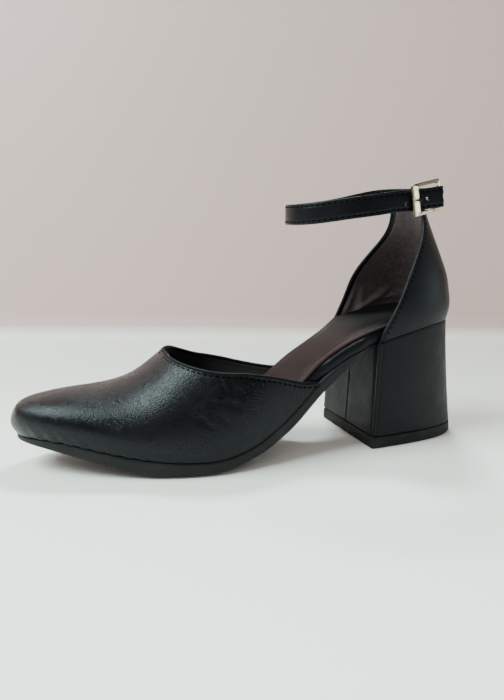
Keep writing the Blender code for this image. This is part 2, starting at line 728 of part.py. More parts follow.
def cut_strap(strap):
    """Holes through the strap, and the slot in its fold that leaves the prong free."""
    sides = 10
    reach = 3.0 * MM
    angles = 2.0 * math.pi * np.arange(sides) / sides
    known = np.array(STRAP_IN_BUCKLE)
    points = []
    faces = []
    for hole in STRAP_HOLES:
        middle = np.interp(hole.x, known[:, 0], known[:, 1]) * MM
        across = (hole.x + 0.5 * hole.diameter * np.cos(angles)) * MM
        up = (hole.rise + 0.5 * hole.diameter * np.sin(angles)) * MM
        first = len(points)
        for depth in (middle - reach, middle + reach):
            points += [(x, depth, z) for x, z in zip(across, up)]
        faces += [[first + i for i in face] for face in tube_faces(2, sides)]
    first = len(points)
    for z in (-SLOT_HALF_WIDTH, SLOT_HALF_WIDTH):
        points += [(corner.x * MM, corner.y * MM, z) for corner in FOLD_SLOT]
    faces += [[first + i for i in face] for face in tube_faces(2, len(FOLD_SLOT))]
    place = buckle_matrix()
    points = [place @ Vector(point) for point in points]
    add_cutter(strap, "strap_cuts", points, faces)


def make_buckle(parent):
    """Flat metal frame: a wide front bar, two rails and a narrow rear bar."""
    half_long = 0.5 * BUCKLE_LENGTH
    half_high = 0.5 * BUCKLE_HEIGHT
    half_thick = 0.5 * BUCKLE_THICKNESS
    outer = [(-half_long, -half_high), (half_long, -half_high),
             (half_long, half_high), (-half_long, half_high)]
    inner_front = FRONT_BAR_WIDTH - half_long
    inner_back = half_long - REAR_BAR_WIDTH
    inner_high = half_high - RAIL_WIDTH
    inner = [(inner_front, -inner_high), (inner_back, -inner_high),
             (inner_back, inner_high), (inner_front, inner_high)]
    points = [(x, depth, z) for depth in (-half_thick, half_thick) for x, z in outer + inner]
    faces = []
    for i in range(4):
        j = (i + 1) % 4
        faces.append([i, j, 4 + j, 4 + i])
        faces.append([8 + i, 12 + i, 12 + j, 8 + j])
        faces.append([i, 8 + i, 8 + j, j])
        faces.append([4 + i, 4 + j, 12 + j, 12 + i])
    finish = material("buckle_gold", (0.80, 0.70, 0.52), 0.25, 1.0)
    frame = add_piece("buckle_frame", points, faces, finish, parent)
    frame.matrix_local = buckle_matrix()
    bevel = frame.modifiers.new("rounded_edges", "BEVEL")
    bevel.width = BUCKLE_EDGE_ROUND
    bevel.segments = 2
    return frame


def make_prong(parent):
    """Round prong, bent round the rear bar, that holds the strap by a hole."""
    eye = arc(REAR_BAR_X, EYE_RADIUS, 140.0, -90.0, 12)
    shank = np.column_stack([column(PRONG_PATH, name) for name in ("x", "y")])
    plan = np.vstack((eye, shank))
    knots = np.column_stack((plan, np.zeros(len(plan))))
    upright = np.tile((0.0, 0.0, 1.0), (len(knots), 1))
    line, upright = smooth_path(knots, upright, spacing=1.2 * MM)
    outward, upward = ribbon_frames(line, upright)
    sides = 8
    angles = 2.0 * math.pi * np.arange(sides) / sides
    around = 0.5 * PRONG_DIAMETER * np.column_stack((np.cos(angles), np.sin(angles)))
    points = (line[:, None, :] + outward[:, None, :] * around[None, :, :1]
              + upward[:, None, :] * around[None, :, 1:])
    finish = material("prong_gold", (0.78, 0.68, 0.50), 0.28, 1.0)
    faces = tube_faces(len(line), sides)
    prong = add_piece("buckle_prong", points.reshape(-1, 3), faces, finish, parent)
    prong.matrix_local = buckle_matrix()
    return prong


for leftover in list(bpy.data.objects):
    bpy.data.objects.remove(leftover, do_unlink=True)

shoe = bpy.data.objects.new("shoe", None)
bpy.context.scene.collection.objects.link(shoe)
make_outsole(shoe)
make_insole(shoe)
make_sock(shoe)
make_heel(shoe)
make_top_piece(shoe)
make_vamp(shoe)
make_counter(shoe)
make_strap(shoe)
make_buckle(shoe)
make_prong(shoe)
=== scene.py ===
import math

import bmesh
import bpy
from mathutils import Matrix
import numpy as np


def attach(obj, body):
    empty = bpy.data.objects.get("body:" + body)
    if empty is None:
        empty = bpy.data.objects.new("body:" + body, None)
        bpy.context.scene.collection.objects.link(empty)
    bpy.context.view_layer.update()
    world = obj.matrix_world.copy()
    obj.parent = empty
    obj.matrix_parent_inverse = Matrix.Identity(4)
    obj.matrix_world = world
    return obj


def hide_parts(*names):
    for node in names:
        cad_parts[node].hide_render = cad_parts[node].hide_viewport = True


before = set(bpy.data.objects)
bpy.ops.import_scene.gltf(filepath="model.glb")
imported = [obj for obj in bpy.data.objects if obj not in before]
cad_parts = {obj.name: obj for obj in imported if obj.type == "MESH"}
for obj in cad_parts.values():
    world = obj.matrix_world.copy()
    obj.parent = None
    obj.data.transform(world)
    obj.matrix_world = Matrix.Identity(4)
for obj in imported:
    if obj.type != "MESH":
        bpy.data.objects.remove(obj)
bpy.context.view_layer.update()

# Outsole: one black rubber unit from the toe to the heel's breast, moulded with toe spring, a thin
# waist and cross ribs under the ball, then glued under the lasted upper. Shapes are worked out in
# millimetres, toe towards -X, outer side of the foot towards -Y, and turned to metres in add_piece.
MM = 0.001
WELD = 0.002
SHARP_EDGE = math.radians(50.0)
TOE_X = -206.5
OUTSOLE_END = 175.9
CROWDING = 1.5
PLAN = {
    "along": (0.0, 1.5, 5.0, 13.0, 23.0, 35.0, 50.0, 65.0, 78.0, 90.0, 103.0, 117.0, 131.0, 145.0,
              160.0, 170.0, 176.5),
    "lateral": (7.0, 1.2, -3.6, -10.2, -16.2, -22.0, -28.2, -33.2, -36.0, -36.9, -35.8, -32.8, -29.7,
                -27.8, -27.4, -28.1, -28.6),
    "medial": (7.0, 12.6, 17.2, 22.8, 27.2, 31.2, 34.8, 36.8, 37.0, 35.6, 32.0, 26.6, 19.9, 15.2,
               16.2, 22.8, 28.6),
}
PROFILE = {
    "along": (0.0, 13.0, 23.0, 35.0, 50.0, 65.0, 80.0, 92.0, 103.0, 113.0, 124.0, 133.0, 143.5, 155.0,
              165.0, 172.0, 177.0, 189.5, 201.5, 212.5, 222.5, 232.5),
    "feather": (16.5, 16.3, 15.2, 12.9, 10.0, 8.1, 7.2, 7.6, 10.2, 14.2, 21.0, 28.2, 38.0, 46.6, 52.1,
                55.2, 57.0, 60.3, 63.2, 65.2, 66.3, 66.6),
    "tread": (14.1, 11.8, 9.3, 6.0, 2.1, -0.3, -0.6, 0.6, 3.5, 7.3, 13.3, 20.0, 30.2, 40.1, 47.2, 50.6,
              52.4, 55.7, 58.6, 60.6, 61.7, 62.0),
    "crown": (0.4, 0.9, 1.2, 1.5, 1.7, 1.8, 1.8, 1.6, 1.2, 0.9, 0.7, 0.6, 0.6, 0.6, 0.6, 0.6, 0.6, 0.6,
              0.6, 0.6, 0.6, 0.6),
    "insole": (2.2, 2.3, 2.4, 2.5, 2.6, 2.7, 2.8, 3.1, 3.5, 4.0, 4.6, 5.0, 5.1, 5.1, 5.1, 5.1, 5.1, 5.1,
               5.1, 5.1, 5.1, 5.1),
}
TIP_START = 156.0
TIP_RISE = 0.5
TIP_ROUND = 4.0
RIB_PITCH = 5.0
RIB_DEPTH = 0.45
RIB_BEND = 0.006
RIB_START = 26.0
RIB_END = 112.0
RIB_FADE = 4.0
TREAD_INSET = 6.5
TREAD_CROWN = 0.06
# Rows of the sole's edge: inset in millimetres, share of the crown's rise, share of the wall's height
SOLE_EDGE = (
    (TREAD_INSET, TREAD_CROWN, 0.0), (4.0, 0.16, 0.0), (2.2, 0.36, 0.0), (1.0, 0.62, 0.0), (0.35, 0.86, 0.0),
    (0.05, 1.0, 0.08), (0.0, 1.0, 0.35), (0.0, 1.0, 0.7), (0.0, 1.0, 0.86), (0.3, 1.0, 0.93),
    (0.55, 1.0, 0.985), (1.2, 1.0, 1.0),
)
RUBBER_BLOTCH = 11.1
RUBBER_PIT = 0.714


def spline(knots, values, at):
    """Natural cubic spline: between two knots, a cubic whose bend joins its neighbours' bends."""
    knots, values, at = (np.asarray(part, float) for part in (knots, values, at))
    step = np.diff(knots)
    slope = np.diff(values) / step
    system = np.diag(np.r_[1.0, 2.0 * (step[:-1] + step[1:]), 1.0])
    system += np.diag(np.r_[step[:-1], 0.0], -1) + np.diag(np.r_[0.0, step[1:]], 1)
    bend = np.linalg.solve(system, np.r_[0.0, 6.0 * np.diff(slope), 0.0])
    i = np.clip(np.searchsorted(knots, at) - 1, 0, len(knots) - 2)
    before = at - knots[i]
    after = knots[i + 1] - at
    cubic = (bend[i] * after**3 + bend[i + 1] * before**3) / (6.0 * step[i])
    ends = (values[i] / step[i] - bend[i] * step[i] / 6.0) * after
    return cubic + ends + (values[i + 1] / step[i] - bend[i + 1] * step[i] / 6.0) * before


def profile(name, x):
    """A height of the side profile at x, on the spline through its rows."""
    return spline(PROFILE["along"], PROFILE[name], np.asarray(x) - TOE_X)


def plan_sides(along):
    """y of the lateral and medial feather lines, on splines in the root of the way, round at the toe."""
    return [spline(np.sqrt(PLAN["along"]), PLAN[side], np.sqrt(along)) for side in ("lateral", "medial")]


def smooth_step(low, high, at):
    """Smooth change from 0 to 1 between two places: three squares less two cubes of the way."""
    t = np.clip((at - low) / (high - low), 0.0, 1.0)
    return t * t * (3.0 - 2.0 * t)


def unit(vectors):
    """Vectors made one long."""
    return vectors / np.linalg.norm(vectors, axis=-1, keepdims=True)


def moved_in(loop, distance):
    """A closed plan moved inwards: each point goes along its own normal by the distance."""
    tangent = unit(np.roll(loop, -1, axis=0) - np.roll(loop, 1, axis=0))
    normal = np.column_stack((-tangent[:, 1], tangent[:, 0]))
    return loop + normal * np.broadcast_to(distance, len(loop))[:, None]


def grid_faces(rows, columns, wrap=False, flip=False):
    """Four-sided faces of a grid of points; wrap joins its last column to its first."""
    row = np.arange(rows - 1)[:, None] * columns
    here = np.arange(columns if wrap else columns - 1)[None, :]
    then = (here + 1) % columns
    quads = np.stack((row + here, row + columns + here, row + columns + then, row + then), axis=-1)
    return quads.reshape(-1, 4)[:, ::-1 if flip else 1]


def add_piece(name, points, finishes, faces=None, closed=True, values=None):
    """A piece from points in millimetres, a grid that closes round its columns unless faces are given,
    merged where points coincide, shaded smooth, on the one body."""
    faces = grid_faces(*points.shape[:2], wrap=True) if faces is None else faces
    mesh = bpy.data.meshes.new(name)
    mesh.from_pydata((points.reshape(-1, 3) * MM).tolist(), [], faces.tolist())
    for label, numbers in (values or {}).items():
        attribute = mesh.attributes.new(label, "FLOAT", "POINT")
        attribute.data.foreach_set("value", np.ravel(numbers).astype("f4"))
    form = bmesh.new()
    form.from_mesh(mesh)
    bmesh.ops.remove_doubles(form, verts=form.verts, dist=WELD * MM)
    bmesh.ops.dissolve_degenerate(form, edges=form.edges, dist=WELD * MM)
    if closed:
        bmesh.ops.recalc_face_normals(form, faces=form.faces)
    form.to_mesh(mesh)
    form.free()
    mesh.shade_smooth()
    mesh.set_sharp_from_angle(angle=SHARP_EDGE)
    for finish in finishes:
        mesh.materials.append(finish)
    piece = bpy.data.objects.new(name, mesh)
    bpy.context.scene.collection.objects.link(piece)
    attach(piece, "root")
    return piece


def linear(code):
    """An sRGB hex colour turned to linear light, with full alpha."""
    s = np.array([int(code[i:i + 2], 16) for i in (1, 3, 5)]) / 255.0
    return (*np.where(s <= 0.04045, s / 12.92, ((s + 0.055) / 1.055) ** 2.4).tolist(), 1.0)


def wire(tree, node, inputs):
    """Fill a node's inputs, given by name or in its own order: each takes a hex colour, a plain value, a
    socket, or a node, whose first output is linked."""
    for key, value in inputs.items() if isinstance(inputs, dict) else enumerate(inputs):
        if isinstance(value, str):
            value = linear(value)
        if isinstance(value, bpy.types.Node):
            value = value.outputs[0]
        if isinstance(value, bpy.types.NodeSocket):
            tree.links.new(value, node.inputs[key])
        else:
            node.inputs[key].default_value = value
    return node


def add_node(tree, kind, inputs, **settings):
    """A shader node of a kind, with its settings and its inputs."""
    node = tree.nodes.new("ShaderNode" + kind)
    for key, value in settings.items():
        setattr(node, key, value)
    return wire(tree, node, inputs)


def new_finish(name):
    """A new material with its nodes, its shader and the Object coordinates that its patterns read."""
    finish = bpy.data.materials.new(name)
    finish.use_nodes = True
    tree = finish.node_tree
    place = add_node(tree, "TexCoord", {}).outputs["Object"]
    return finish, tree, tree.nodes["Principled BSDF"], place


def moulded_rubber(name, colour, dusty, roughness, gleam):
    """Moulded black rubber: matt, a little blotched and dusty, with a fine pitted skin that breaks the
    gloss. The pits are drawn coarser than real so that they show."""
    finish, tree, shader, place = new_finish(name)
    blotch = add_node(tree, "TexNoise", {"Vector": place, "Scale": 1.0 / (RUBBER_BLOTCH * MM), "Detail": 4.0})
    pits = add_node(tree, "TexNoise", {"Vector": place, "Scale": 1.0 / (RUBBER_PIT * MM), "Detail": 2.0})
    dust = add_node(tree, "MapRange", (blotch, 0.42, 0.72))
    tone = add_node(tree, "MixRGB", (dust, colour, dusty))
    gloss = add_node(tree, "MapRange", (blotch, 0.0, 1.0, roughness - 0.08, roughness + 0.12))
    bump = add_node(tree, "Bump", {"Height": pits, "Strength": 0.35, "Distance": 0.15 * MM})
    wire(tree, shader, {"Base Color": tone, "Roughness": gloss, "Normal": bump, "Specular IOR Level": gleam})
    return finish


def outsole_grid(stations, across, tread_rings):
    """Rings of the sole's plan: from the middle of the tread to the edge, up the side, in to the middle.
    The ribs are a clipped sine over the way along, bent by the square of the way across."""
    along = OUTSOLE_END * np.linspace(0.0, 1.0, stations) ** CROWDING
    lateral_y, medial_y = plan_sides(along)
    end_y = np.linspace(lateral_y[-1], medial_y[-1], across)[1:-1]
    middle_y = 0.5 * (lateral_y + medial_y)
    x = np.r_[along, np.full(across - 2, OUTSOLE_END), along[:0:-1]] + TOE_X
    middle = np.r_[middle_y, np.full(across - 2, middle_y[-1]), middle_y[:0:-1]]
    loop = np.column_stack((x, np.r_[lateral_y, end_y, medial_y[:0:-1]]))
    tip = smooth_step(TIP_START, OUTSOLE_END, x - TOE_X)
    rings = []
    for share in np.linspace(1.0, 0.0, tread_rings)[:-1]:
        inner = moved_in(loop, TREAD_INSET)
        inner[:, 1] += share * (middle - inner[:, 1])
        tread = np.maximum(profile("tread", inner[:, 0]), 0.0)
        zone = smooth_step(RIB_START, RIB_START + RIB_FADE, inner[:, 0] - TOE_X)
        zone *= 1.0 - smooth_step(RIB_END - RIB_FADE, RIB_END, inner[:, 0] - TOE_X)
        wave = np.sin(2.0 * math.pi * (inner[:, 0] + RIB_BEND * (inner[:, 1] - middle) ** 2) / RIB_PITCH)
        cut = RIB_DEPTH * zone * smooth_step(0.1, 0.6, wave) * smooth_step(0.0, 0.1, share)
        lift = TREAD_CROWN * (1.0 - share) * profile("crown", inner[:, 0])
        lift += TIP_RISE * tip * (profile("feather", inner[:, 0]) - tread)
        rings.append(np.column_stack((inner, tread + cut + lift)))
    for distance, crown, wall in SOLE_EDGE:
        ring = moved_in(loop, distance)
        low = np.maximum(profile("tread", x), 0.0) + crown * profile("crown", x)
        low += TIP_RISE * tip * (profile("feather", x) - low)
        ring[:, 1] += TIP_ROUND * tip**3 * np.sign(middle - ring[:, 1])
        rings.append(np.column_stack((ring, low + wall * (profile("feather", x) - low))))
    rings.append(np.column_stack((x, middle, profile("feather", x))))
    return np.array(rings)


sole_rubber = moulded_rubber("outsole_moulded_rubber", "#131316", "#1d1d20", roughness=0.52, gleam=0.2)
sole_points = outsole_grid(stations=230, across=44, tread_rings=24)
outsole = add_piece("outsole_unit", sole_points, [sole_rubber])
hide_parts("outsole")

# Heel block: a moulded block covered in the upper's leather. The cover is folded round the front
# edges, which leaves a fine line beside each, and its two ends meet in a seam down the breast.
HEEL_HEIGHT = 66.0
TOP_PIECE_HEIGHT = 6.5
FIT_GAP = 0.3
HEEL_HALF_WIDTH = 28.6
HEEL_FRONT = -32.0
SEAT_FRONT = -30.0
SEAT_BACK = 24.2
BACK_FLARE = 9.2
BACK_CURVE = 1.3
BASE_SQUARENESS = 4.0
SEAT_SQUARENESS = 3.2
BASE_TAPER = 0.07
INNER_FLARE = 3.0
HORSESHOE_ROOT = 2.25
CORNER_SPREAD = 1.8
COVER_FOLD = 2.1
LINE_WIDTH = 0.5
FOLD_DEPTH = 0.35
SEAM_DEPTH = 0.45
HOLLOW_WIDTH = 1.4
HOLLOW_SPREAD = 0.55
LEATHER_DRIFT = 14.3


def horseshoe(front, back, half, power, cut, turn, taper=0.0):
    """Plan round the heel: x falls with the square of the turn, y is a superellipse of the reach back."""
    x = back - (back - cut) * turn**2
    reach = np.clip((x - front) / (back - front), 0.0, 1.0)
    y = (half - taper * (x - front)) * (1.0 - reach**power) ** (1.0 / HORSESHOE_ROOT)
    return x, np.sign(turn) * y


def heel_plan(share, turn):
    """Plan of the heel at a share of its height: back and squareness change from floor to seat, and the
    inner front corner flares towards the floor with the fourth power of the turn."""
    front = HEEL_FRONT + (SEAT_FRONT - HEEL_FRONT) * share
    back = SEAT_BACK + BACK_FLARE * (1.0 - share) ** BACK_CURVE
    half = HEEL_HALF_WIDTH + INNER_FLARE * (1.0 - share) * turn.clip(0.0) ** 4
    power = BASE_SQUARENESS + (SEAT_SQUARENESS - BASE_SQUARENESS) * share
    return horseshoe(front, back, half, power, front, turn, BASE_TAPER * (1.0 - share))


def heel_ring(share, count, inset, marks):
    """Even points round one plan of the heel, corners softened by a bell of weights, with the cover's lines
    and the hollows beside the breast pressed in along the normal as bells."""
    side = np.column_stack(heel_plan(share, np.linspace(-1.0, 1.0, 321)))
    breast = np.linspace(side[-1], side[0], 60)[1:]
    loop = np.vstack((side, breast))
    way = np.r_[0.0, np.cumsum(np.linalg.norm(np.diff(loop, axis=0), axis=1))]
    corner = way[len(side) - 1]
    even = np.linspace(0.0, way[-1], count, endpoint=False)
    ring = np.column_stack([np.interp(even, way, loop[:, axis]) for axis in (0, 1)])
    taps = np.arange(-4, 5)
    weights = np.exp(-0.5 * (taps / CORNER_SPREAD) ** 2)
    ring = sum(weight * np.roll(ring, tap, axis=0) for tap, weight in zip(taps, weights)) / weights.sum()
    press = np.zeros(count)
    if marks:
        hollow = HOLLOW_WIDTH * (1.0 + share)
        hollow_depth = 0.3 + 0.4 * share
        lines = ((COVER_FOLD, LINE_WIDTH, FOLD_DEPTH), (corner - COVER_FOLD, LINE_WIDTH, FOLD_DEPTH),
                 (way[-1] - hollow, HOLLOW_SPREAD * hollow, hollow_depth),
                 (corner + hollow, HOLLOW_SPREAD * hollow, hollow_depth),
                 (0.5 * (corner + way[-1]), LINE_WIDTH, SEAM_DEPTH))
        for place, width, depth in lines:
            press += depth * np.exp(-((even - place) / width) ** 2)
    return moved_in(ring, inset + press)


def heel_grid(levels, count, height, marks):
    """Rings of the heel's plan from the middle of its foot, up its sides, to the middle of its top."""
    rings = []
    for share, inset in levels:
        plan = heel_ring(share, count, inset, marks)
        rings.append(np.column_stack((plan, height(share, plan[:, 0]))))
    foot_middle, top_middle = (np.column_stack((np.zeros((count, 2)), height(share, np.zeros(count))))
                               for share, _ in (levels[0], levels[-1]))
    return np.array([foot_middle, *rings, top_middle])


def heel_height(share, x):
    """Height of the cover at a share: from the top piece's face up to the sloping seat."""
    base = TOP_PIECE_HEIGHT + FIT_GAP
    first = base / HEEL_HEIGHT
    return base + (share - first) / (1.0 - first) * (profile("feather", x) - base)


def satin_leather(name, dark, light, roughness, gleam, grain, relief):
    """Coated black leather: pebbles of the given mm parted by fine grooves, satin gloss that drifts a little.
    The grain is drawn about twice as coarse as real so that it still shows at the photograph's distance."""
    finish, tree, shader, place = new_finish(name)
    warp = add_node(tree, "TexNoise", {"Vector": place, "Scale": 0.7 / (grain * MM), "Detail": 2.0})
    bent = add_node(tree, "VectorMath", (warp.outputs["Color"], (0.8 * grain * MM,) * 3, place),
                    operation="MULTIPLY_ADD")
    cells = add_node(tree, "TexVoronoi", {"Vector": bent, "Scale": 1.0 / (grain * MM)},
                     feature="DISTANCE_TO_EDGE")
    pebbles = add_node(tree, "MapRange", (cells, 0.0, 0.35), interpolation_type="SMOOTHSTEP")
    crumb = add_node(tree, "TexNoise", {"Vector": place, "Scale": 2.5 / (grain * MM), "Detail": 2.0})
    drift = add_node(tree, "TexNoise", {"Vector": place, "Scale": 1.0 / (LEATHER_DRIFT * MM), "Detail": 4.0})
    tone = add_node(tree, "MixRGB", (drift, dark, light))
    gloss = add_node(tree, "MapRange", (drift, 0.3, 0.7, roughness - 0.06, roughness + 0.08))
    height = add_node(tree, "Math", (crumb, 0.6, pebbles), operation="MULTIPLY_ADD")
    bump = add_node(tree, "Bump", {"Height": height, "Strength": relief, "Distance": 0.12 * grain * MM})
    wire(tree, shader, {"Base Color": tone, "Roughness": gloss, "Normal": bump, "Specular IOR Level": gleam,
                        "Specular Tint": "#eff1fb"})
    return finish


cover_leather = satin_leather("stretched_cover_leather", "#0a0a0d", "#131317", roughness=0.46, gleam=0.13,
                              grain=1.3, relief=0.5)
cover_start = (TOP_PIECE_HEIGHT + FIT_GAP) / HEEL_HEIGHT
cover_levels = [(cover_start, 0.5), (cover_start + 0.006, 0.15)]
cover_levels += [(share, 0.0) for share in np.linspace(cover_start + 0.014, 0.988, 60)] + [(1.0, 0.35)]
cover_points = heel_grid(cover_levels, 440, heel_height, marks=True)
heel_cover = add_piece("heel_cover", cover_points, [cover_leather])
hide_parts("heel_block")

# Top piece: the rubber wear layer under the heel, pressed to shape, nailed and glued on, and trimmed
# flush with the cover.
top_rubber = moulded_rubber("top_piece_pressed_rubber", "#111113", "#242323", roughness=0.62, gleam=0.16)
top_share = TOP_PIECE_HEIGHT / HEEL_HEIGHT
top_levels = ((0.0, 1.0), (0.03 * top_share, 0.55), (0.09 * top_share, 0.22), (0.2 * top_share, 0.05),
              (0.5 * top_share, 0.0), (0.9 * top_share, 0.0), (0.97 * top_share, 0.1), (top_share, 0.4))
top_points = heel_grid(top_levels, 300, lambda share, x: np.full_like(x, HEEL_HEIGHT * share), marks=False)
top_piece = add_piece("heel_top_rubber", top_points, [top_rubber])
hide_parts("heel_top_piece")

# Insole: a stiff board with padding, wrapped in black leather whose rolled edge shows at the waist,
# laid on the outsole and on the heel's seat.
BREAST = 176.5
VAMP_END = 143.3
COUNTER_WALL = 2.0
WAIST_MARGIN = 0.8
WAIST_BLEND = 9.0


def steepness(x):
    """How much longer a vertical cut through a sloping layer is than its thickness."""
    rise = profile("feather", x + 0.5) - profile("feather", x - 0.5)
    return np.sqrt(1.0 + rise**2)


def foot_loop(stations, heel_stations):
    """Plan of the whole feather line, toe to heel and back, and the y of the middle beside each point."""
    along = BREAST * np.linspace(0.0, 1.0, stations) ** CROWDING
    lateral, medial = plan_sides(along)
    heel_x, heel_y = horseshoe(SEAT_FRONT, SEAT_BACK, HEEL_HALF_WIDTH, SEAT_SQUARENESS, SEAT_FRONT,
                               np.linspace(1.0, 0.0, heel_stations)[1:])
    x = np.r_[along + TOE_X, heel_x]
    lateral = np.r_[lateral, -heel_y]
    medial = np.r_[medial, heel_y]
    middle = 0.5 * (lateral + medial)
    loop = np.column_stack((np.r_[x, x[-2:0:-1]], np.r_[lateral, medial[-2:0:-1]]))
    return loop, np.r_[middle, middle[-2:0:-1]]


def seat_margin(x, walls, waist):
    """Distance in from the feather line: the wall where an upper stands, less at the open waist."""
    along = x - TOE_X
    open_waist = smooth_step(VAMP_END + 1.0, VAMP_END + WAIST_BLEND, along)
    open_waist -= smooth_step(OUTSOLE_END - WAIST_BLEND, OUTSOLE_END - 1.0, along)
    return walls + (waist - walls) * open_waist


def layer_grid(loop, middle, margin, rows, shape):
    """Rings of a flat layer: rows give inset and height share, then shares of the way in to the middle."""
    rings = []
    for inset, share, inward in rows:
        ring = moved_in(loop, margin + inset)
        ring[:, 1] += inward * (middle - ring[:, 1])
        rings.append(np.column_stack((ring, shape(ring[:, 0], share, inward))))
    return np.array(rings)


def insole_height(x, share, inward):
    """Height of the board: its share of the thickness, square to the slope, over the feather line."""
    return profile("feather", x) + (FIT_GAP + share * profile("insole", x)) * steepness(x)


smooth_leather = satin_leather("smooth_coated_leather", "#07070b", "#0d0d12", roughness=0.36, gleam=0.16,
                               grain=0.8, relief=0.35)
foot, foot_middle = foot_loop(stations=210, heel_stations=60)
insole_rows = ((0.6, 0.0, 1.0), (0.6, 0.0, 0.0), (0.15, 0.03, 0.0), (0.0, 0.12, 0.0), (-0.1, 0.3, 0.0),
               (-0.1, 0.5, 0.0), (0.0, 0.66, 0.0), (0.25, 0.8, 0.0), (0.65, 0.9, 0.0), (1.25, 0.97, 0.0),
               (2.0, 1.0, 0.0), (2.4, 1.0, 0.3), (2.4, 1.0, 1.0))
insole_margin = seat_margin(foot[:, 0], COUNTER_WALL + 2.0 * FIT_GAP, WAIST_MARGIN)
insole_points = layer_grid(foot, foot_middle, insole_margin, insole_rows, insole_height)
insole = add_piece("insole_wrapped_edge", insole_points, [smooth_leather])
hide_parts("insole_board")

# Sock lining: thin dark brown-grey synthetic leather over a foam pad, glued to the insole; its rim
# is pressed lower than the padded middle, which leaves two faint lengthwise ridges.
SOCK_THICKNESS = 1.2
SOCK_MARGIN = 2.2
PAD_RISE = 0.25
PAD_LINE_AT = 0.2
PAD_LINE_WIDTH = 0.035
PAD_LINE_DEPTH = 0.4
SOCK_DRIFT = 9.09
SOCK_PORE = 0.909
# Reach along x, in millimetres, over which painted shade darkens the sock towards its heel end, where the
# back of the shoe shades it; the same reach also dulls the sock there.
HEEL_SHADE_RANGE = (-45.0, -20.0)


def sock_height(x, share, inward):
    """Height of the sock: a share of its thickness over the insole, less a bell where the pad begins."""
    line = PAD_LINE_DEPTH * np.exp(-((inward - PAD_LINE_AT) / PAD_LINE_WIDTH) ** 2)
    pad = (PAD_RISE * smooth_step(0.1, 0.3, inward) - line) * (share > 0.99)
    lift = profile("insole", x) + 2.0 * FIT_GAP + share * SOCK_THICKNESS + pad
    return profile("feather", x) + lift * steepness(x)


def rubbed_lining(name, base, light, dark, roughness, gleam):
    """Smooth sock leather: brown-grey satin, paler towards its rim from rubbing, duller towards the heel, and
    darkened there by painted shade that stands in for the shade inside the back of the shoe. The pores are
    drawn coarser than real so that they show."""
    finish, tree, shader, place = new_finish(name)
    across = add_node(tree, "Attribute", {}, attribute_name="inward").outputs["Fac"]
    drift = add_node(tree, "TexNoise", {"Vector": place, "Scale": 1.0 / (SOCK_DRIFT * MM), "Detail": 5.0})
    pores = add_node(tree, "TexNoise", {"Vector": place, "Scale": 1.0 / (SOCK_PORE * MM), "Detail": 2.0})
    rim = add_node(tree, "MapRange", (across, 0.1, 0.4, 0.75, 0.0))
    rub = add_node(tree, "Math", (drift, 0.5, rim), operation="MULTIPLY_ADD", use_clamp=True)
    tone = add_node(tree, "MixRGB", (rub, base, light))
    reach = add_node(tree, "SeparateXYZ", (place,)).outputs["X"]
    # Painted shade: the sock's colour darkens towards its heel end, where the back of the shoe shades it; the
    # same mask makes it duller.
    heel = add_node(tree, "MapRange", (reach, HEEL_SHADE_RANGE[0] * MM, HEEL_SHADE_RANGE[1] * MM))
    wear_and_painted_light = add_node(tree, "MixRGB", (heel, tone, dark))
    dull = add_node(tree, "MapRange", (heel, 0.0, 1.0, roughness, 0.75))
    bump = add_node(tree, "Bump", {"Height": pores, "Strength": 0.25, "Distance": 0.15 * MM})
    wire(tree, shader, {"Base Color": wear_and_painted_light, "Roughness": dull, "Normal": bump, "Specular IOR Level": gleam})
    return finish


# The third colour is the painted shade at the sock's heel end.
sock_leather = rubbed_lining("sock_smooth_synthetic", "#150e10", "#312325", "#040304", roughness=0.42,
                             gleam=0.06)
sock_rows = [(0.5, 0.0, 1.0), (0.5, 0.0, 0.0), (0.1, 0.1, 0.0), (0.0, 0.45, 0.0), (0.15, 0.8, 0.0)]
sock_rows += [(0.6, 1.0, inward) for inward in np.linspace(0.0, 1.0, 56)]
sock_margin = seat_margin(foot[:, 0], COUNTER_WALL + 3.0 * FIT_GAP, WAIST_MARGIN + SOCK_MARGIN)
sock_points = layer_grid(foot, foot_middle, sock_margin, sock_rows, sock_height)
sock_inward = np.tile(np.array([row[2] for row in sock_rows])[:, None], (1, len(foot)))
sock = add_piece("sock_lining_pad", sock_points, [sock_leather],
                 values={"inward": sock_inward})
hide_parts("sock_lining")

# Vamp: the upper over the forefoot, black coated leather with a dark felt lining, pulled over the
# last and glued under the insole. Its topline is folded over and stitched close to the edge.
THROAT = 72.75
UPPER_WALL = 1.7
VAMP = {
    "along": (0.0, 2.0, 6.0, 13.0, 23.0, 35.0, 50.0, 62.0, 73.5, 81.0, 90.0, 103.0, 117.0, 131.0, 143.5),
    "lean": (1.6, 3.0, 5.3, 7.8, 9.0, 8.5, 6.5, 4.2, 1.8, 0.4, 0.0, 0.0, 0.0, 0.0, 0.0),
    "crest_y": (7.0, 7.0, 7.0, 7.0, 6.9, 6.6, 6.0, 5.0, 3.8, 3.0, 2.4, 1.8, 1.2, 0.6, 0.0),
    "crest_z": (25.6, 28.0, 30.5, 33.0, 34.9, 36.4, 38.3, 43.6, 54.2, 61.0, 68.5, 78.0, 87.0, 96.5, 105.0),
    "bulge": (0.0, 0.3, 0.8, 1.3, 1.7, 1.9, 2.0, 1.9, 1.6, 1.4, 1.3, 1.1, 0.9, 0.6, 0.3),
    "fullness": (0.9, 0.88, 0.86, 0.85, 0.86, 0.88, 0.92, 0.96, 0.98, 1.0, 1.0, 1.0, 1.0, 1.0, 1.0),
}
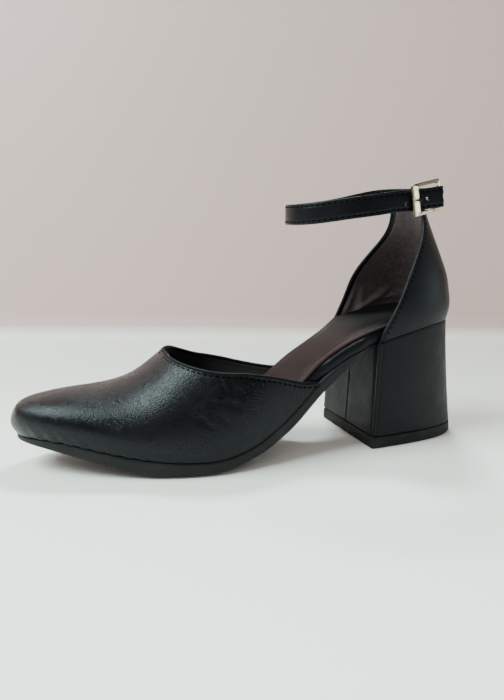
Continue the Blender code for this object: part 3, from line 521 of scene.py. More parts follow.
TOPLINE = {
    "behind": (0.0, 0.83, 2.45, 4.34, 8.6, 13.46, 18.5, 24.0, 30.7, 38.25, 49.25, 59.5, 68.05, 70.55),
    "lateral": (45.65, 44.8, 43.95, 43.2, 41.95, 40.9, 39.75, 38.3, 35.9, 31.7, 22.9, 12.0, 3.0, 0.8),
    "medial": (45.65, 45.7, 46.1, 45.75, 43.85, 41.65, 39.45, 37.2, 34.0, 29.35, 20.5, 11.0, 2.8, 0.8),
}
TOE_SWELL = 1.6
TOE_SWELL_REACH = 9.0
PUCKER_PITCH = 6.3
PUCKER_DEPTH = 0.2
PUCKER_HEIGHT = 3.0
RIM_WIDTH = 1.9
RIM_DROP = 0.28
RIM_PROUD = 0.3
RIM_SIDES = 12
STITCH_IN = 2.1
STITCH_LENGTH = 1.9
STITCH_PITCH = 2.9
STITCH_WIDTH = 0.8
STITCH_SINK = 0.1
STITCH_RINGS = 7
STITCH_SIDES = 8
GROOVE_DEPTH = 0.2
GROOVE_WIDTH = 0.6
# Soft creases of the outer side: from and to (along, angle up the arch), half width and depth in millimetres
VAMP_CREASES = (
    (45.8, 0.62, 48.6, 0.48, 0.8, 0.35), (47.6, 0.65, 50.0, 0.53, 0.7, 0.25),
    (58.6, 0.44, 62.0, 0.39, 0.8, 0.3), (88.5, 0.64, 94.9, 0.53, 0.9, 0.25),
    (91.5, 0.67, 94.0, 0.48, 0.8, 0.2), (95.5, 0.61, 97.5, 0.46, 0.9, 0.22),
    (82.0, 0.56, 88.0, 0.46, 0.9, 0.2), (76.0, 0.46, 84.0, 0.36, 1.0, 0.2),
    (92.0, 0.45, 100.0, 0.34, 1.0, 0.2), (84.0, 0.72, 87.0, 0.58, 0.7, 0.2),
    (86.0, 0.5, 93.0, 0.42, 0.7, 0.18), (79.0, 0.62, 83.0, 0.5, 0.7, 0.18),
    (97.0, 0.52, 103.0, 0.4, 0.8, 0.2), (90.0, 0.36, 95.0, 0.24, 0.8, 0.18),
    (81.0, 0.38, 87.0, 0.27, 0.8, 0.18), (87.0, 0.62, 92.0, 0.6, 0.6, 0.15),
    (94.0, 0.4, 98.0, 0.48, 0.6, 0.15), (78.0, 0.5, 82.0, 0.55, 0.6, 0.15),
)
ARCH_METRIC = np.array((1.0, 35.0))
THREAD_TWIST = 0.403
FELT_CLOUD = 3.03
FELT_PILE = 0.909


def crease_depth(u, v, creases, metric):
    """Depth of straight soft troughs: a bell over the distance to each segment, fading out at its ends. The
    metric turns the two parameters to millimetres."""
    place = (metric[0] * u, metric[1] * v)
    depth = np.zeros(np.broadcast(u, v).shape)
    for u0, v0, u1, v1, width, deep in creases:
        start = metric * (u0, v0)
        run = metric * (u1, v1) - start
        off = [place[axis] - start[axis] for axis in (0, 1)]
        at = (off[0] * run[0] + off[1] * run[1]) / (run @ run)
        away = (off[0] - at * run[0]) ** 2 + (off[1] - at * run[1]) ** 2
        fade = smooth_step(-0.25, 0.2, at) * smooth_step(-0.25, 0.2, 1.0 - at)
        depth += deep * np.exp(-away / width**2) * fade
    return depth


def vamp_rows(along, *names):
    """Rows of the vamp's table, each read on a spline in the root of the way along."""
    return [spline(np.sqrt(VAMP["along"]), VAMP[name], np.sqrt(along)) for name in names]


def vamp_points(along, angle, side):
    """An arch over each section: cosine across and sine up, raised to the fullness, with a bulge at half
    height and a swell of the toe that dies away along it."""
    rows = vamp_rows(along, "lean", "crest_y", "crest_z", "bulge", "fullness")
    lean, crest_y, crest_z, bulge, fullness = (row[:, None] for row in rows)
    edge = plan_sides(along)[0 if side < 0 else 1][:, None]
    foot_z = profile("feather", along + TOE_X)[:, None] + FIT_GAP
    up = np.sin(angle).clip(0.0) ** fullness
    swell = TOE_SWELL * np.exp(-along[:, None] / TOE_SWELL_REACH) * np.sin(math.pi * up)
    y = crest_y + (edge - crest_y) * np.cos(angle).clip(0.0) ** fullness + side * bulge * np.sin(2.0 * angle)
    x = along[:, None] + TOE_X - lean * up - swell
    return np.stack((x, y, foot_z + (crest_z - foot_z) * up), axis=-1)


def topline_angle(along, side):
    """Angle up each arch where the wing ends: the arcsine of the topline's share of the arch's height."""
    rise = spline(np.sqrt(TOPLINE["behind"]), TOPLINE["lateral" if side < 0 else "medial"],
                  np.sqrt(np.maximum(along - THROAT, 0.0)))
    crest, fullness = vamp_rows(along, "crest_z", "fullness")
    share = np.clip(rise / (crest - profile("feather", along + TOE_X) - FIT_GAP), 0.0, 1.0)
    return np.where(along <= THROAT, math.pi / 2.0, np.arcsin(share ** (1.0 / fullness)))


def grid_normals(points):
    """Unit normals of a grid: the cross product of its two directions."""
    normal = np.cross(np.gradient(points, axis=0), np.gradient(points, axis=1))
    return normal / np.maximum(np.linalg.norm(normal, axis=-1, keepdims=True), 1e-9)


def even_path(line, normal, spacing):
    """Points at even spacing along a line, with its normals read at the same places and made one long."""
    way = np.r_[0.0, np.cumsum(np.linalg.norm(np.diff(line, axis=0), axis=1))]
    at = np.linspace(0.0, way[-1], max(2, round(way[-1] / spacing) + 1))
    line, normal = (np.column_stack([np.interp(at, way, part[:, axis]) for axis in range(3)])
                    for part in (line, normal))
    return line, unit(normal)


def sweep(line, outward, section):
    """A closed section carried along a line: its first axis goes outward, its second square to both."""
    tangent = unit(np.gradient(line, axis=0))
    upward = unit(np.cross(outward, tangent))
    outward = np.cross(tangent, upward)
    return line[:, None] + outward[:, None] * section[..., :1] + upward[:, None] * section[..., 1:]


def round_section(count, sides, wide, high):
    """Ellipses along a path that shrink to a point at both ends, so the tube closes."""
    angle = 2.0 * math.pi * np.arange(sides) / sides
    swell = np.sqrt(np.clip(np.minimum(np.arange(count), np.arange(count)[::-1]) / 3.0, 0.0, 1.0))
    return swell[:, None, None] * np.column_stack((wide * np.cos(angle), high * np.sin(angle)))[None]


def add_wall(piece, thickness, inner_finish=0):
    """Give an open surface its wall, grown inwards, with another of its finishes inside if so told."""
    wall = piece.modifiers.new("wall", "SOLIDIFY")
    wall.thickness = thickness * MM
    wall.offset = -1.0
    wall.material_offset = inner_finish


def add_stitches(name, line, normal):
    """A row of thread stitches: ellipsoids laid end to end along a line, each half sunk in the leather."""
    middle, lift = even_path(line, normal, STITCH_PITCH)
    tangent = unit(np.gradient(middle, axis=0))
    turn = np.linspace(0.0, math.pi, STITCH_RINGS)[:, None]
    around = (2.0 * math.pi * np.arange(STITCH_SIDES) / STITCH_SIDES)[None, :]
    ways = ((tangent, 0.5 * STITCH_LENGTH * np.cos(turn) + 0.0 * around),
            (np.cross(tangent, lift), 0.5 * STITCH_WIDTH * np.sin(turn) * np.cos(around)),
            (lift, 0.5 * STITCH_WIDTH * np.sin(turn) * np.sin(around)))
    points = middle[:, None, None] + sum(axis[:, None, None] * size[None, ..., None] for axis, size in ways)
    first = STITCH_RINGS * STITCH_SIDES * np.arange(len(middle))[:, None, None]
    faces = (grid_faces(STITCH_RINGS, STITCH_SIDES, wrap=True)[None] + first).reshape(-1, 4)
    return add_piece(name, points, [black_thread], faces=faces)


def spun_thread(name, colour, lit):
    """Black polyester sewing thread: twisted, its slanting ridges painted as faint highlights in the lit
    colour, and too dull to catch much light. Along its diagonal the wave repeats every 0.363 of its scale."""
    finish, tree, shader, place = new_finish(name)
    waves = {"Vector": place, "Scale": 0.363 / (THREAD_TWIST * MM), "Distortion": 2.0}
    twist = add_node(tree, "TexWave", waves, bands_direction="DIAGONAL").outputs["Fac"]
    tone = add_node(tree, "MixRGB", (twist, colour, lit))
    wire(tree, shader, {"Base Color": tone, "Roughness": 0.8, "Specular IOR Level": 0.03})
    return finish


def felt_lining(name, base, light, sheen_tone):
    """Brushed lining felt: very matt and cloudy, and greyer where the piece's own value paints a sheen of
    light on it. The pile is drawn coarser than real so that it shows."""
    finish, tree, shader, place = new_finish(name)
    cloud = add_node(tree, "TexNoise", {"Vector": place, "Scale": 1.0 / (FELT_CLOUD * MM), "Detail": 8.0,
                                        "Roughness": 0.8})
    pile = add_node(tree, "TexNoise", {"Vector": place, "Scale": 1.0 / (FELT_PILE * MM), "Detail": 3.0})
    # Painted sheen: a value of the piece that greys the felt where light would catch it.
    painted_sheen = add_node(tree, "Attribute", {}, attribute_name="painted_sheen").outputs["Fac"]
    fleck = add_node(tree, "MapRange", (cloud, 0.4, 0.7, 0.0, 0.7))
    tone = add_node(tree, "MixRGB", (fleck, base, light))
    wear_and_painted_light = add_node(tree, "MixRGB", (painted_sheen, tone, sheen_tone))
    bump = add_node(tree, "Bump", {"Height": pile, "Strength": 0.8, "Distance": 0.3 * MM})
    wire(tree, shader, {"Base Color": wear_and_painted_light, "Roughness": 0.9, "Sheen Weight": 0.15, "Normal": bump})
    return finish


def vamp_side(along, share, side):
    """One side of the vamp and its normals, with creases, a sine of lasting puckers at the toe and a sunk
    stitch line."""
    angle = topline_angle(along, side)[:, None] * share
    points = vamp_points(along, angle, side)
    normal = -side * grid_normals(points)
    reach = np.linalg.norm(np.diff(points, axis=1), axis=-1)
    below_edge = np.c_[np.cumsum(reach[:, ::-1], axis=1)[:, ::-1], np.zeros(len(along))]
    along = along[:, None]
    groove = GROOVE_DEPTH * np.exp(-((below_edge - STITCH_IN) / GROOVE_WIDTH) ** 2) * (along > THROAT)
    above_sole = points[..., 2] - points[:, :1, 2]
    pucker = PUCKER_DEPTH * np.sin(2.0 * math.pi * along / PUCKER_PITCH) * np.exp(-above_sole / PUCKER_HEIGHT)
    pucker *= smooth_step(2.0, 10.0, along) * (1.0 - smooth_step(40.0, 70.0, along))
    crease = crease_depth(along, angle, VAMP_CREASES, ARCH_METRIC) if side < 0 else 0.0
    return points - normal * (groove + pucker + crease)[..., None], normal


pebbled_leather = satin_leather("pebbled_coated_leather", "#040407", "#08080c", roughness=0.28, gleam=0.21,
                                grain=1.1, relief=0.52)
folded_leather = satin_leather("folded_edge_leather", "#07070b", "#0d0d12", roughness=0.55, gleam=0.1,
                               grain=0.8, relief=0.35)
lining_cloth = felt_lining("dark_lining_cloth", "#141213", "#232021", "#232021")
black_thread = spun_thread("black_spun_thread", "#030303", "#08080a")
front_along = THROAT * np.linspace(0.0, 1.0, 150) ** CROWDING
wing_along = THROAT + (VAMP_END - THROAT) * np.linspace(0.0, 1.0, 111)[1:] ** CROWDING
vamp_along = np.r_[front_along, wing_along]
vamp_share = np.linspace(0.0, 1.0, 76)[None, :]
outer_side, outer_normal = vamp_side(vamp_along, vamp_share, -1)
inner_side, inner_normal = vamp_side(vamp_along, vamp_share, 1)
vamp_faces = grid_faces(*outer_side.shape[:2])
vamp_faces = np.vstack((vamp_faces, vamp_faces[:, ::-1] + outer_side.size // 3))
vamp = add_piece("vamp_upper", np.stack((outer_side, inner_side)), [pebbled_leather, lining_cloth],
                 faces=vamp_faces, closed=False)
add_wall(vamp, UPPER_WALL, inner_finish=1)
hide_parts("vamp")

throat_row = len(front_along) - 1
topline, topline_normal = (np.vstack((outer[throat_row:, -1][::-1], inner[throat_row + 1:, -1]))
                           for outer, inner in ((outer_side, inner_side), (outer_normal, inner_normal)))
topline, topline_normal = even_path(topline, topline_normal, 0.6)
down = unit(np.cross(topline_normal, np.gradient(topline, axis=0)))
rim_points = sweep(topline + RIM_DROP * RIM_WIDTH * down - 0.5 * UPPER_WALL * topline_normal, topline_normal,
                   round_section(len(topline), RIM_SIDES, 0.5 * UPPER_WALL + RIM_PROUD, 0.5 * RIM_WIDTH))
add_piece("vamp_folded_rim", rim_points, [folded_leather])
vamp_stitch_line = topline + STITCH_IN * down - STITCH_SINK * topline_normal
add_stitches("vamp_rim_stitches", vamp_stitch_line[4:-8], topline_normal[4:-8])

# Counter: the closed back quarter with its tall tab, black coated leather over a stiffener, felt
# lined, lasted under the heel seat; its two front edges are folded and stitched.
COUNTER_TOP = 134.0
COUNTER = {
    "level": (0.0, 0.083, 0.225, 0.344, 0.493, 0.6, 0.702, 0.821, 0.91, 1.0),
    "front": (-30.0, -28.5, -26.0, -23.5, -20.5, -18.0, -15.5, -13.0, -12.0, -11.5),
    "back": (24.2, 25.4, 24.5, 22.9, 18.9, 16.0, 13.1, 9.4, 7.4, 6.4),
    "half": (28.6, 29.3, 29.2, 28.0, 25.5, 23.2, 21.0, 19.4, 18.6, 18.2),
    "power": (3.2, 3.2, 3.1, 3.0, 2.9, 2.7, 2.5, 2.3, 2.1, 2.0),
    "cut": (-29.4, -25.9, -19.5, -14.8, -8.5, -3.9, -0.3, 1.2, 0.8, 0.5),
}
INNER_BOW = 3.3
BOW_LEVEL = 0.41
BOW_SPREAD = 0.19
SHELL_WALL = 1.3
QUARTER_RIM_HALF = 0.8
QUARTER_RIM_PROUD = 0.05
QUARTER_STITCH_IN = 1.3
QUARTER_STITCH_SINK = 0.15
LINING_CLOTH = 0.5
LINING_LIFT = 0.55
LINING_BORDER = 2.2
LINING_METRIC = np.array((70.0, 70.0))
# Folds of the lining, as turn and level of both ends, half width and height in millimetres
LINING_FOLDS = (
    (0.86, 0.075, 0.63, 0.21, 2.4, 1.2), (0.74, 0.085, 0.61, 0.172, 1.8, -0.45),
    (0.885, 0.26, 0.838, 0.09, 2.2, 1.1), (0.97, 0.29, 0.945, 0.11, 2.4, 0.9),
    (0.7, 0.135, 0.53, 0.165, 1.8, 0.9), (0.8, 0.15, 0.7, 0.26, 2.2, -0.4),
    (0.55, 0.12, 0.42, 0.2, 2.2, 0.4), (0.92, 0.2, 0.9, 0.08, 1.6, -0.4),
    (-0.8, 0.08, -0.62, 0.2, 2.4, 0.7), (-0.9, 0.24, -0.84, 0.09, 2.4, 0.6),
    (-0.6, 0.11, -0.48, 0.18, 2.0, 0.4),
)


def counter_rows(level, *names):
    """Rows of the quarter's table, each read on a spline over the level."""
    return [spline(COUNTER["level"], COUNTER[name], level)[:, None] for name in names]


def counter_grid(level, turn):
    """Back quarter: a horseshoe at each level, heights shared out between the seat and the tab's top; the
    inner front edge bows forward by a bell over the level."""
    front, back, half, power, cut = counter_rows(level, "front", "back", "half", "power", "cut")
    bow = INNER_BOW * np.exp(-((level[:, None] - BOW_LEVEL) / BOW_SPREAD) ** 2)
    x, y = horseshoe(front, back, half, power, cut - bow * (turn > 0.0), turn)
    seat = profile("feather", x) + FIT_GAP
    return np.stack((x, y, seat + level[:, None] * (COUNTER_TOP - seat)), axis=-1)


def lining_grid(level, across):
    """Lining inside the quarter: its horseshoe short of the edges, lifted inwards, with folds as ridges."""
    back, cut = counter_rows(level, "back", "cut")
    turn = across * (1.0 - LINING_BORDER / np.maximum(2.0 * (back - cut), 12.0))
    points = counter_grid(level, turn)
    rise = smooth_step(0.0, 0.03, 1.0 - np.abs(across)) * smooth_step(0.0, 0.02, level[-1] - level[:, None])
    fold = crease_depth(turn, level[:, None], LINING_FOLDS, LINING_METRIC)
    return points + grid_normals(points) * (SHELL_WALL - 0.1 + rise * (LINING_LIFT + fold))[..., None]


counter_points = counter_grid(np.linspace(0.0, 1.0, 110), np.linspace(-1.0, 1.0, 181)[None, :])
counter_normals = -grid_normals(counter_points)
counter = add_piece("counter_quarter", counter_points, [smooth_leather],
                    faces=grid_faces(*counter_points.shape[:2], flip=True), closed=False)
add_wall(counter, SHELL_WALL)
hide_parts("counter")

# The last colour is the grey of the painted sheen.
lining_felt = felt_lining("brushed_lining_felt", "#0c0408", "#48252f", "#4c4144")
lining_level = np.linspace(0.012, 0.965, 150)
lining_across = np.linspace(-1.0, 1.0, 201)[None, :]
lining_points = lining_grid(lining_level, lining_across)
# Painted sheen on the lining: paler towards its front edges, towards its top, and low down by its front
# edges, so that its middle stays dark as in shade.
edge_sheen = 0.3 * smooth_step(0.62, 1.0, np.abs(lining_across))
top_sheen = 0.2 * smooth_step(0.5, 0.95, lining_level)[:, None]
foot_sheen = 0.7 * (1.0 - smooth_step(0.1, 0.34, lining_level)[:, None])
lining_sheen = edge_sheen + top_sheen + foot_sheen * smooth_step(0.6, 0.9, np.abs(lining_across))
lining = add_piece("counter_lining", lining_points, [lining_felt],
                   faces=grid_faces(*lining_points.shape[:2]), closed=False, values={"painted_sheen": lining_sheen})
add_wall(lining, LINING_CLOTH)

quarter_edge, quarter_normal = (np.vstack((part[:, 0], part[-1, 1:-1], part[::-1, -1]))
                                for part in (counter_points, counter_normals))
quarter_edge, quarter_normal = even_path(quarter_edge, quarter_normal, 0.7)
quarter_rim = sweep(quarter_edge - 0.5 * COUNTER_WALL * quarter_normal, quarter_normal,
                    round_section(len(quarter_edge), RIM_SIDES, 0.5 * COUNTER_WALL + QUARTER_RIM_PROUD,
                                  QUARTER_RIM_HALF))
add_piece("counter_folded_rim", quarter_rim, [smooth_leather])
behind = unit(np.cross(np.gradient(quarter_edge, axis=0), quarter_normal))
quarter_stitch_line = quarter_edge + QUARTER_STITCH_IN * behind - QUARTER_STITCH_SINK * quarter_normal
add_stitches("counter_rim_stitches", quarter_stitch_line, quarter_normal)

# Ankle strap: a folded and edge-stitched leather band, sewn to the outside of the back tab, passed
# round the ankle and under the buckle's front bar, with punched holes for the prong.
STRAP_WIDTH = 10.2
STRAP_THICKNESS = 1.6
STRAP_SIDES = 56
STRAP_SQUARENESS = 0.42
STRAP_GROOVE_IN = 1.5
STRAP_GROOVE_WIDTH = 0.45
STRAP_GROOVE_DEPTH = 0.22
STRAP_STITCH_SINK = 0.2
AFTER_FOLD = 22
STRAP_PATH = np.array((
    (4.7, -19.5, 130.6), (6.4, -12.5, 131.3), (8.1, -5.5, 132.1), (8.6, 0.5, 132.7), (7.5, 7.0, 133.2),
    (4.8, 12.4, 133.6), (0.6, 17.0, 133.8), (-7.0, 22.3, 133.2), (-19.0, 26.7, 130.6), (-33.0, 28.0, 127.6),
    (-47.0, 26.0, 125.3), (-58.5, 20.0, 123.6), (-66.5, 10.5, 122.3), (-69.1, 0.0, 121.5),
    (-66.6, -10.5, 121.0), (-58.8, -19.5, 121.7), (-47.0, -25.0, 123.5), (-33.0, -27.6, 125.5),
    (-21.5, -28.3, 127.2)))
STRAP_IN_BUCKLE = np.array(((-7.5, 1.95), (-4.5, 1.65), (-1.5, 0.55), (2.0, -1.2), (5.0, -2.75), (7.4, -4.0)))
BUCKLE_LENGTH = 19.5
FRONT_BAR_WIDTH = 4.4
BAR_WIDTH = 1.8
BUCKLE_FRONT = np.array((-15.2, -30.3, 127.6))
BUCKLE_REAR = np.array((1.6, -25.9, 130.5))
REAR_BAR_X = 0.5 * (BUCKLE_LENGTH - BAR_WIDTH)
FRONT_BAR_X = 0.5 * (FRONT_BAR_WIDTH - BUCKLE_LENGTH)
FOLD_RADIUS = 2.15
FOLD_SLOT = np.array(((5.2, -1.5), (8.6, -3.3), (12.4, -3.4), (12.4, 3.8), (5.2, 3.8)))
SLOT_HALF_WIDTH = 1.2
# Holes: way along the buckle, rise and diameter
STRAP_HOLES = ((-11.8, -0.9, 2.0), (-3.75, 0.0, 2.6), (0.3, 0.3, 2.4))
HOLE_SIDES = 20
HOLE_REACH = 3.0

buckle_run = unit(BUCKLE_REAR - BUCKLE_FRONT)
buckle_inward = unit(np.cross((0.0, 0.0, 1.0), buckle_run))
buckle_up = np.cross(buckle_run, buckle_inward)
buckle_middle = 0.5 * (BUCKLE_FRONT + BUCKLE_REAR) - buckle_run * 0.5 * (FRONT_BAR_X + REAR_BAR_X)


def in_buckle(points):
    """Points of the buckle's own axes (rearward, inward, up) put in the shoe's frame."""
    return buckle_middle + np.asarray(points) @ np.array((buckle_run, buckle_inward, buckle_up))


def bar_arc(radius, start, end, count):
    """A round bend about the rear bar, in the buckle's axes."""
    angle = np.radians(np.linspace(start, end, count))
    return np.column_stack((REAR_BAR_X + radius * np.cos(angle), radius * np.sin(angle), 0.0 * angle))


def smooth_path(knots, others, spacing):
    """Even points on a spline through the knots over their distance, other values read between knots."""
    way = np.r_[0.0, np.cumsum(np.linalg.norm(np.diff(knots, axis=0), axis=1))]
    at = np.linspace(0.0, way[-1], round(way[-1] / spacing) + 1)
    line = np.column_stack([spline(way, knots[:, axis], at) for axis in range(3)])
    return line, np.column_stack([np.interp(at, way, others[:, axis]) for axis in range(3)])


def signed_power(base, power):
    """A power of a number's size that keeps its sign, which squares off a sine or a cosine."""
    return np.sign(base) * np.abs(base) ** power


def strap_section(half_thick, half_wide, count):
    """A flat section with round edges, pressed in along two stitch lines: a superellipse less two grooves."""
    angle = 2.0 * math.pi * np.arange(count) / count
    wide = half_wide * signed_power(np.sin(angle), STRAP_SQUARENESS)
    thick = half_thick * signed_power(np.cos(angle), STRAP_SQUARENESS)
    away = np.abs(wide) - half_wide + STRAP_GROOVE_IN
    groove = STRAP_GROOVE_DEPTH * np.exp(-(away / STRAP_GROOVE_WIDTH) ** 2)
    return np.column_stack((thick - np.sign(thick) * groove * (np.abs(thick) > 0.5 * half_thick), wide))


def closed_ends(rings):
    """Rings with one more at each end that lies on the end ring's middle, so the ends close."""
    ends = [np.tile(rings[i].mean(axis=0), (1, rings.shape[1], 1)) for i in (0, -1)]
    return np.concatenate((ends[0], rings, ends[1]))


flat_ending = np.column_stack((STRAP_IN_BUCKLE, np.zeros(len(STRAP_IN_BUCKLE))))
strap_fold = in_buckle(bar_arc(FOLD_RADIUS, 128.0, 335.0, 11))
strap_knots = np.vstack((strap_fold, STRAP_PATH, in_buckle(flat_ending)))
strap_upright = np.tile(buckle_up, (len(strap_knots), 1))
strap_upright[len(strap_fold) + 1:len(strap_fold) + len(STRAP_PATH) - 1] = (0.0, 0.0, 1.0)
strap_line, strap_upright = smooth_path(strap_knots, strap_upright, 0.8)
strap_tangent = unit(np.gradient(strap_line, axis=0))
strap_outward = unit(np.cross(strap_tangent, strap_upright))
strap_ring = strap_section(0.5 * STRAP_THICKNESS, 0.5 * STRAP_WIDTH, STRAP_SIDES)
strap_points = closed_ends(sweep(strap_line, strap_outward, strap_ring[None]))
strap = add_piece("ankle_strap_band", strap_points, [smooth_leather])
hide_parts("ankle_strap")


def cut_through(piece, name, cuts):
    """Cut closed forms out of a piece and keep the result as the piece's own mesh."""
    form = bmesh.new()
    for points in cuts:
        mesh = bpy.data.meshes.new(name)
        faces = grid_faces(*points.shape[:2], wrap=True)
        mesh.from_pydata((points.reshape(-1, 3) * MM).tolist(), [], faces.tolist())
        form.from_mesh(mesh)
    bmesh.ops.remove_doubles(form, verts=form.verts, dist=WELD * MM)
    bmesh.ops.recalc_face_normals(form, faces=form.faces)
    form.to_mesh(mesh)
    form.free()
    cutter = bpy.data.objects.new(name, mesh)
    bpy.context.scene.collection.objects.link(cutter)
    cut = piece.modifiers.new(name, "BOOLEAN")
    cut.operation = "DIFFERENCE"
    cut.solver = "EXACT"
    cut.use_self = True
    cut.object = cutter
    graph = bpy.context.evaluated_depsgraph_get()
    piece.data = bpy.data.meshes.new_from_object(piece.evaluated_get(graph))
    piece.modifiers.remove(cut)
    bpy.data.objects.remove(cutter)


hole_angle = 2.0 * math.pi * np.arange(HOLE_SIDES) / HOLE_SIDES
slot_rings = np.array([np.insert(FOLD_SLOT, 2, z, axis=1) for z in (-SLOT_HALF_WIDTH, SLOT_HALF_WIDTH)])
strap_cuts = [in_buckle(closed_ends(slot_rings))]
for x, rise, diameter in STRAP_HOLES:
    middle = np.interp(x, STRAP_IN_BUCKLE[:, 0], STRAP_IN_BUCKLE[:, 1])
    circle = 0.5 * diameter * np.column_stack((np.cos(hole_angle), np.sin(hole_angle))) + (x, rise)
    rings = np.array([np.insert(circle, 1, middle + reach, axis=1) for reach in (-HOLE_REACH, HOLE_REACH)])
    strap_cuts.append(in_buckle(closed_ends(rings)))
cut_through(strap, "strap_punch", strap_cuts)

strap_upward = unit(np.cross(strap_outward, strap_tangent))
for label, face in (("outer", 1.0), ("inner", -1.0)):
    for row, edge in (("upper", 1.0), ("lower", -1.0)):
        line = strap_line + face * (0.5 * STRAP_THICKNESS - STRAP_STITCH_SINK) * strap_outward
        line += edge * (0.5 * STRAP_WIDTH - STRAP_GROOVE_IN) * strap_upward
        add_stitches(f"strap_stitches_{label}_{row}", line[AFTER_FOLD:-2],
                     face * strap_outward[AFTER_FOLD:-2])

# Buckle frame: cast pale gold alloy, polished and lightly worn, with a wide front bar and round
# corners, held in the strap's fold.
BUCKLE_HEIGHT = 15.6
BUCKLE_THICKNESS = 1.6
FRAME_CORNERS = np.array((16.0, 20.0))
FRAME_TILT = math.radians(4.0)
FRAME_REACH = 1.0
FRAME_COUNT = 360
FRAME_SIDES = 24
GOLD_CLOUD = 2.38


def rounded_frame(turn, around):
    """A bar carried round a rounded rectangle: superellipses outside and inside, a round-edged bar between
    them, all turned a little about the front bar because the frame hangs askew on the strap."""
    half_long = 0.5 * BUCKLE_LENGTH
    half_high = 0.5 * BUCKLE_HEIGHT
    inner_front = FRONT_BAR_WIDTH - half_long
    inner_back = half_long - BAR_WIDTH
    turn_x = signed_power(np.cos(turn), 2.0 / FRAME_CORNERS)
    turn_z = signed_power(np.sin(turn), 2.0 / FRAME_CORNERS)
    outer = np.c_[half_long * turn_x[:, 0], half_high * turn_z[:, 0]]
    inner = np.c_[0.5 * (inner_front + inner_back) + 0.5 * (inner_back - inner_front) * turn_x[:, 1],
                  (half_high - BAR_WIDTH) * turn_z[:, 1]]
    inward = 0.5 - 0.5 * signed_power(np.cos(around), 0.5)
    depth = 0.5 * BUCKLE_THICKNESS * signed_power(np.sin(around), 0.5)
    plan = outer[:, None] + inward[..., None] * (inner - outer)[:, None]
    reach = (plan[..., 0] - FRONT_BAR_X) * (1.0 + FRAME_REACH / BUCKLE_LENGTH)
    x = FRONT_BAR_X + reach * math.cos(FRAME_TILT) - plan[..., 1] * math.sin(FRAME_TILT)
    z = plan[..., 1] * math.cos(FRAME_TILT) + reach * math.sin(FRAME_TILT)
    return in_buckle(np.stack((x, np.broadcast_to(depth, x.shape), z), axis=-1))


def polished_gold(name, colour, wear_and_painted_light, dark):
    """Plated pale gold: bright, its plating gone through in specks, and brown where the piece's own value
    paints shade on it.
    """
    finish, tree, shader, place = new_finish(name)
    cloud = add_node(tree, "TexNoise", {"Vector": place, "Scale": 1.0 / (GOLD_CLOUD * MM), "Detail": 5.0,
                                        "Roughness": 0.7})
    rub = add_node(tree, "MapRange", (cloud, 0.49, 0.66))
    tone = add_node(tree, "MixRGB", (rub, colour, wear_and_painted_light))
    # Painted shade: a value of the piece that turns the gold to the dark brown.
    shade_mask = add_node(tree, "Attribute", {}, attribute_name="painted_shade").outputs["Fac"]
    shaded_tone = add_node(tree, "MixRGB", (shade_mask, tone, dark))
    gloss = add_node(tree, "MapRange", (cloud, 0.0, 1.0, 0.25, 0.5))
    wire(tree, shader, {"Base Color": shaded_tone, "Roughness": gloss, "Metallic": 1.0})
    return finish


# The last colour is the brown of the painted shade.
gold = polished_gold("polished_pale_gold", "#ffe8cf", "#8a6a50", "#2a1c12")
frame_turn = 2.0 * math.pi * np.arange(FRAME_COUNT)[:, None] / FRAME_COUNT
frame_round = 2.0 * math.pi * np.arange(FRAME_SIDES)[None, :] / FRAME_SIDES
frame_points = rounded_frame(frame_turn, frame_round)
# Painted shade on the frame: brown along the front bar's outer edge, along the top bar and, more faintly,
# along the bottom bar.
frame_shade = 0.9 * smooth_step(0.6, 0.9, -np.cos(frame_turn)) * smooth_step(0.55, 0.9, np.cos(frame_round))
frame_shade += 0.9 * smooth_step(0.3, 0.6, np.sin(frame_turn)) * smooth_step(-0.75, -0.6, np.cos(frame_turn))
frame_shade += 0.5 * smooth_step(0.3, 0.6, -np.sin(frame_turn)) * smooth_step(-0.65, -0.4, np.cos(frame_turn))
frame_points, frame_shade = (np.concatenate((part, part[:1])) for part in (frame_points, frame_shade))
buckle = add_piece("buckle_cast_frame", frame_points, [gold],
                   values={"painted_shade": np.minimum(frame_shade, 0.95)})
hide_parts("buckle_frame")

# Prong: a round gold wire bent into an eye on the rear bar, led under the strap, up through a hole
# and over the front bar, which holds the strap fast.
PRONG_RADIUS = 0.6
PRONG_SIDES = 16
EYE_RADIUS = 1.9
PRONG_PATH = np.array(((6.9, -1.6), (5.3, -0.85), (2.0, 0.95), (-1.0, 2.5), (-2.6, 2.85), (-3.55, 2.0),
                       (-4.0, 0.8), (-4.35, -0.3), (-4.7, -1.1), (-5.4, -1.75), (-6.6, -1.9), (-8.2, -1.8)))
prong_knots = np.vstack((bar_arc(EYE_RADIUS, 140.0, -90.0, 12), np.insert(PRONG_PATH, 2, 0.0, axis=1)))
prong_line, prong_side = smooth_path(prong_knots, np.tile((0.0, 0.0, 1.0), (len(prong_knots), 1)), 0.25)
prong_section = round_section(len(prong_line), PRONG_SIDES, PRONG_RADIUS, PRONG_RADIUS)
prong_points = in_buckle(sweep(prong_line, prong_side, prong_section))
# Painted shade and dark reflection: the prong darkens along its last part, over the strap and down to its tip
# on the front bar.
prong_shade = np.tile(smooth_step(-2.0, -4.5, prong_line[:, 0])[:, None], (1, PRONG_SIDES))
prong = add_piece("buckle_round_prong", prong_points, [gold], values={"painted_shade": prong_shade})
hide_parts("buckle_prong")

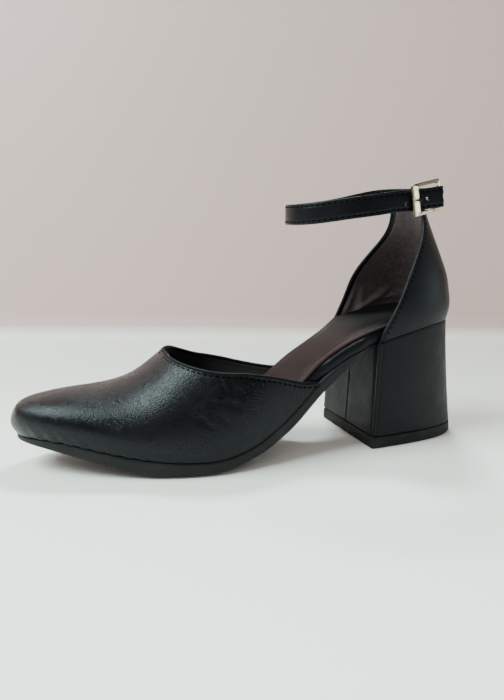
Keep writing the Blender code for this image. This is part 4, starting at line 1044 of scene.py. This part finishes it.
# Stage: a plain pale floor that sweeps up behind the shoe to a warm wall, soft light from above and
# the left, and the camera where the photograph was taken from. Its sizes are in metres.
CAMERA_PLACE = np.array((-0.17466, -0.26062, 0.10178))
CAMERA_YAW, CAMERA_PITCH, CAMERA_ROLL = np.radians((18.13, 10.348, 0.169))
CAMERA_LENS = 27.165
CAMERA_SENSOR = 36.0
FLOOR_FRONT = -0.5
FLOOR_BACK = 0.62
FLOOR_HALF_WIDTH = 2.0
SWEEP_RADIUS = 0.03
WALL_TOP = 0.6
WALL_BLEND = (0.002, 0.014)
ROOM_DARK_SIDE = (0.35, -0.8, -0.48)
LIGHT_COLOUR = "#e6fff5"
# Square soft lights: name, place, target, size in metres, power in watts
LIGHTS = (
    ("key_softbox", (-0.87, 0.0, 1.03), (-0.12, 0.0, 0.05), 0.72, 32.0),
    ("ceiling_softbox", (0.17, 0.66, 1.1), (-0.1, 0.0, 0.0), 0.3, 32.0),
    ("side_softbox", (0.8, -0.41, 0.2), (0.0, -0.03, 0.12), 0.3, 1.5),
    ("front_fill", (-0.36, -0.72, 0.6), (-0.1, -0.03, 0.04), 0.45, 0.9),
)


def add_to_scene(name, data, axes, place):
    """A lamp or the camera at a place, turned to its three axes."""
    thing = bpy.data.objects.new(name, data)
    turn = Matrix(np.column_stack(axes).tolist()).to_4x4()
    turn.translation = place
    thing.matrix_world = turn
    bpy.context.scene.collection.objects.link(thing)
    return thing


ahead = np.array((math.sin(CAMERA_YAW), math.cos(CAMERA_YAW), 0.0))
aside = np.array((math.cos(CAMERA_YAW), -math.sin(CAMERA_YAW), 0.0))
sweep_turn = np.linspace(0.0, 0.5 * math.pi, 9)
floor_reach = np.r_[FLOOR_FRONT, FLOOR_BACK + SWEEP_RADIUS * np.sin(sweep_turn), FLOOR_BACK + SWEEP_RADIUS]
floor_line = CAMERA_PLACE * (1.0, 1.0, 0.0) + floor_reach[:, None] * ahead
floor_line[:, 2] = np.r_[0.0, SWEEP_RADIUS * (1.0 - np.cos(sweep_turn)), WALL_TOP]
floor_points = np.stack([floor_line + side * FLOOR_HALF_WIDTH * aside for side in (-1, 1)])
floor_mesh = bpy.data.meshes.new("studio_floor")
floor_mesh.from_pydata(floor_points.reshape(-1, 3).tolist(), [], grid_faces(2, len(floor_line)).tolist())
floor_mesh.shade_smooth()
paper, paper_tree, paper_shader, paper_place = new_finish("pale_studio_paper")
paper_height = add_node(paper_tree, "SeparateXYZ", (paper_place,)).outputs["Z"]
paper_rise = add_node(paper_tree, "MapRange", (paper_height, *WALL_BLEND))
paper_tone = add_node(paper_tree, "MixRGB", (paper_rise, "#f4f3f0", "#ceb0af"))
wire(paper_tree, paper_shader, {"Base Color": paper_tone, "Roughness": 0.7})
floor_mesh.materials.append(paper)
studio_floor = bpy.data.objects.new("studio_floor", floor_mesh)
bpy.context.scene.collection.objects.link(studio_floor)

world = bpy.data.worlds.new("soft_room")
world.use_nodes = True
room = world.node_tree
toward = add_node(room, "TexCoord", {}).outputs["Generated"]
facing = add_node(room, "VectorMath", (toward, ROOM_DARK_SIDE), operation="DOT_PRODUCT").outputs["Value"]
shade = add_node(room, "MapRange", (facing, -0.15, 0.82, 0.66, 0.06))
wire(room, room.nodes["Background"], {"Color": "#f0dedb", "Strength": shade})
bpy.context.scene.world = world

for name, place, target, size, power in LIGHTS:
    light = bpy.data.lights.new(name, "AREA")
    light.size = size
    light.energy = power
    light.color = linear(LIGHT_COLOUR)[:3]
    back = unit(np.subtract(place, target))
    across = unit(np.cross((0.0, 1.0, 0.02), back))
    add_to_scene(name, light, (across, np.cross(back, across), back), place)

forward = math.cos(CAMERA_PITCH) * ahead - (0.0, 0.0, math.sin(CAMERA_PITCH))
level_up = np.cross(aside, forward)
right = aside * math.cos(CAMERA_ROLL) + level_up * math.sin(CAMERA_ROLL)
up = level_up * math.cos(CAMERA_ROLL) - aside * math.sin(CAMERA_ROLL)
lens = bpy.data.cameras.new("camera")
lens.lens = CAMERA_LENS
lens.sensor_width = CAMERA_SENSOR
lens.clip_start = 0.01
bpy.context.scene.camera = add_to_scene("camera", lens, (right, up, -forward), CAMERA_PLACE)
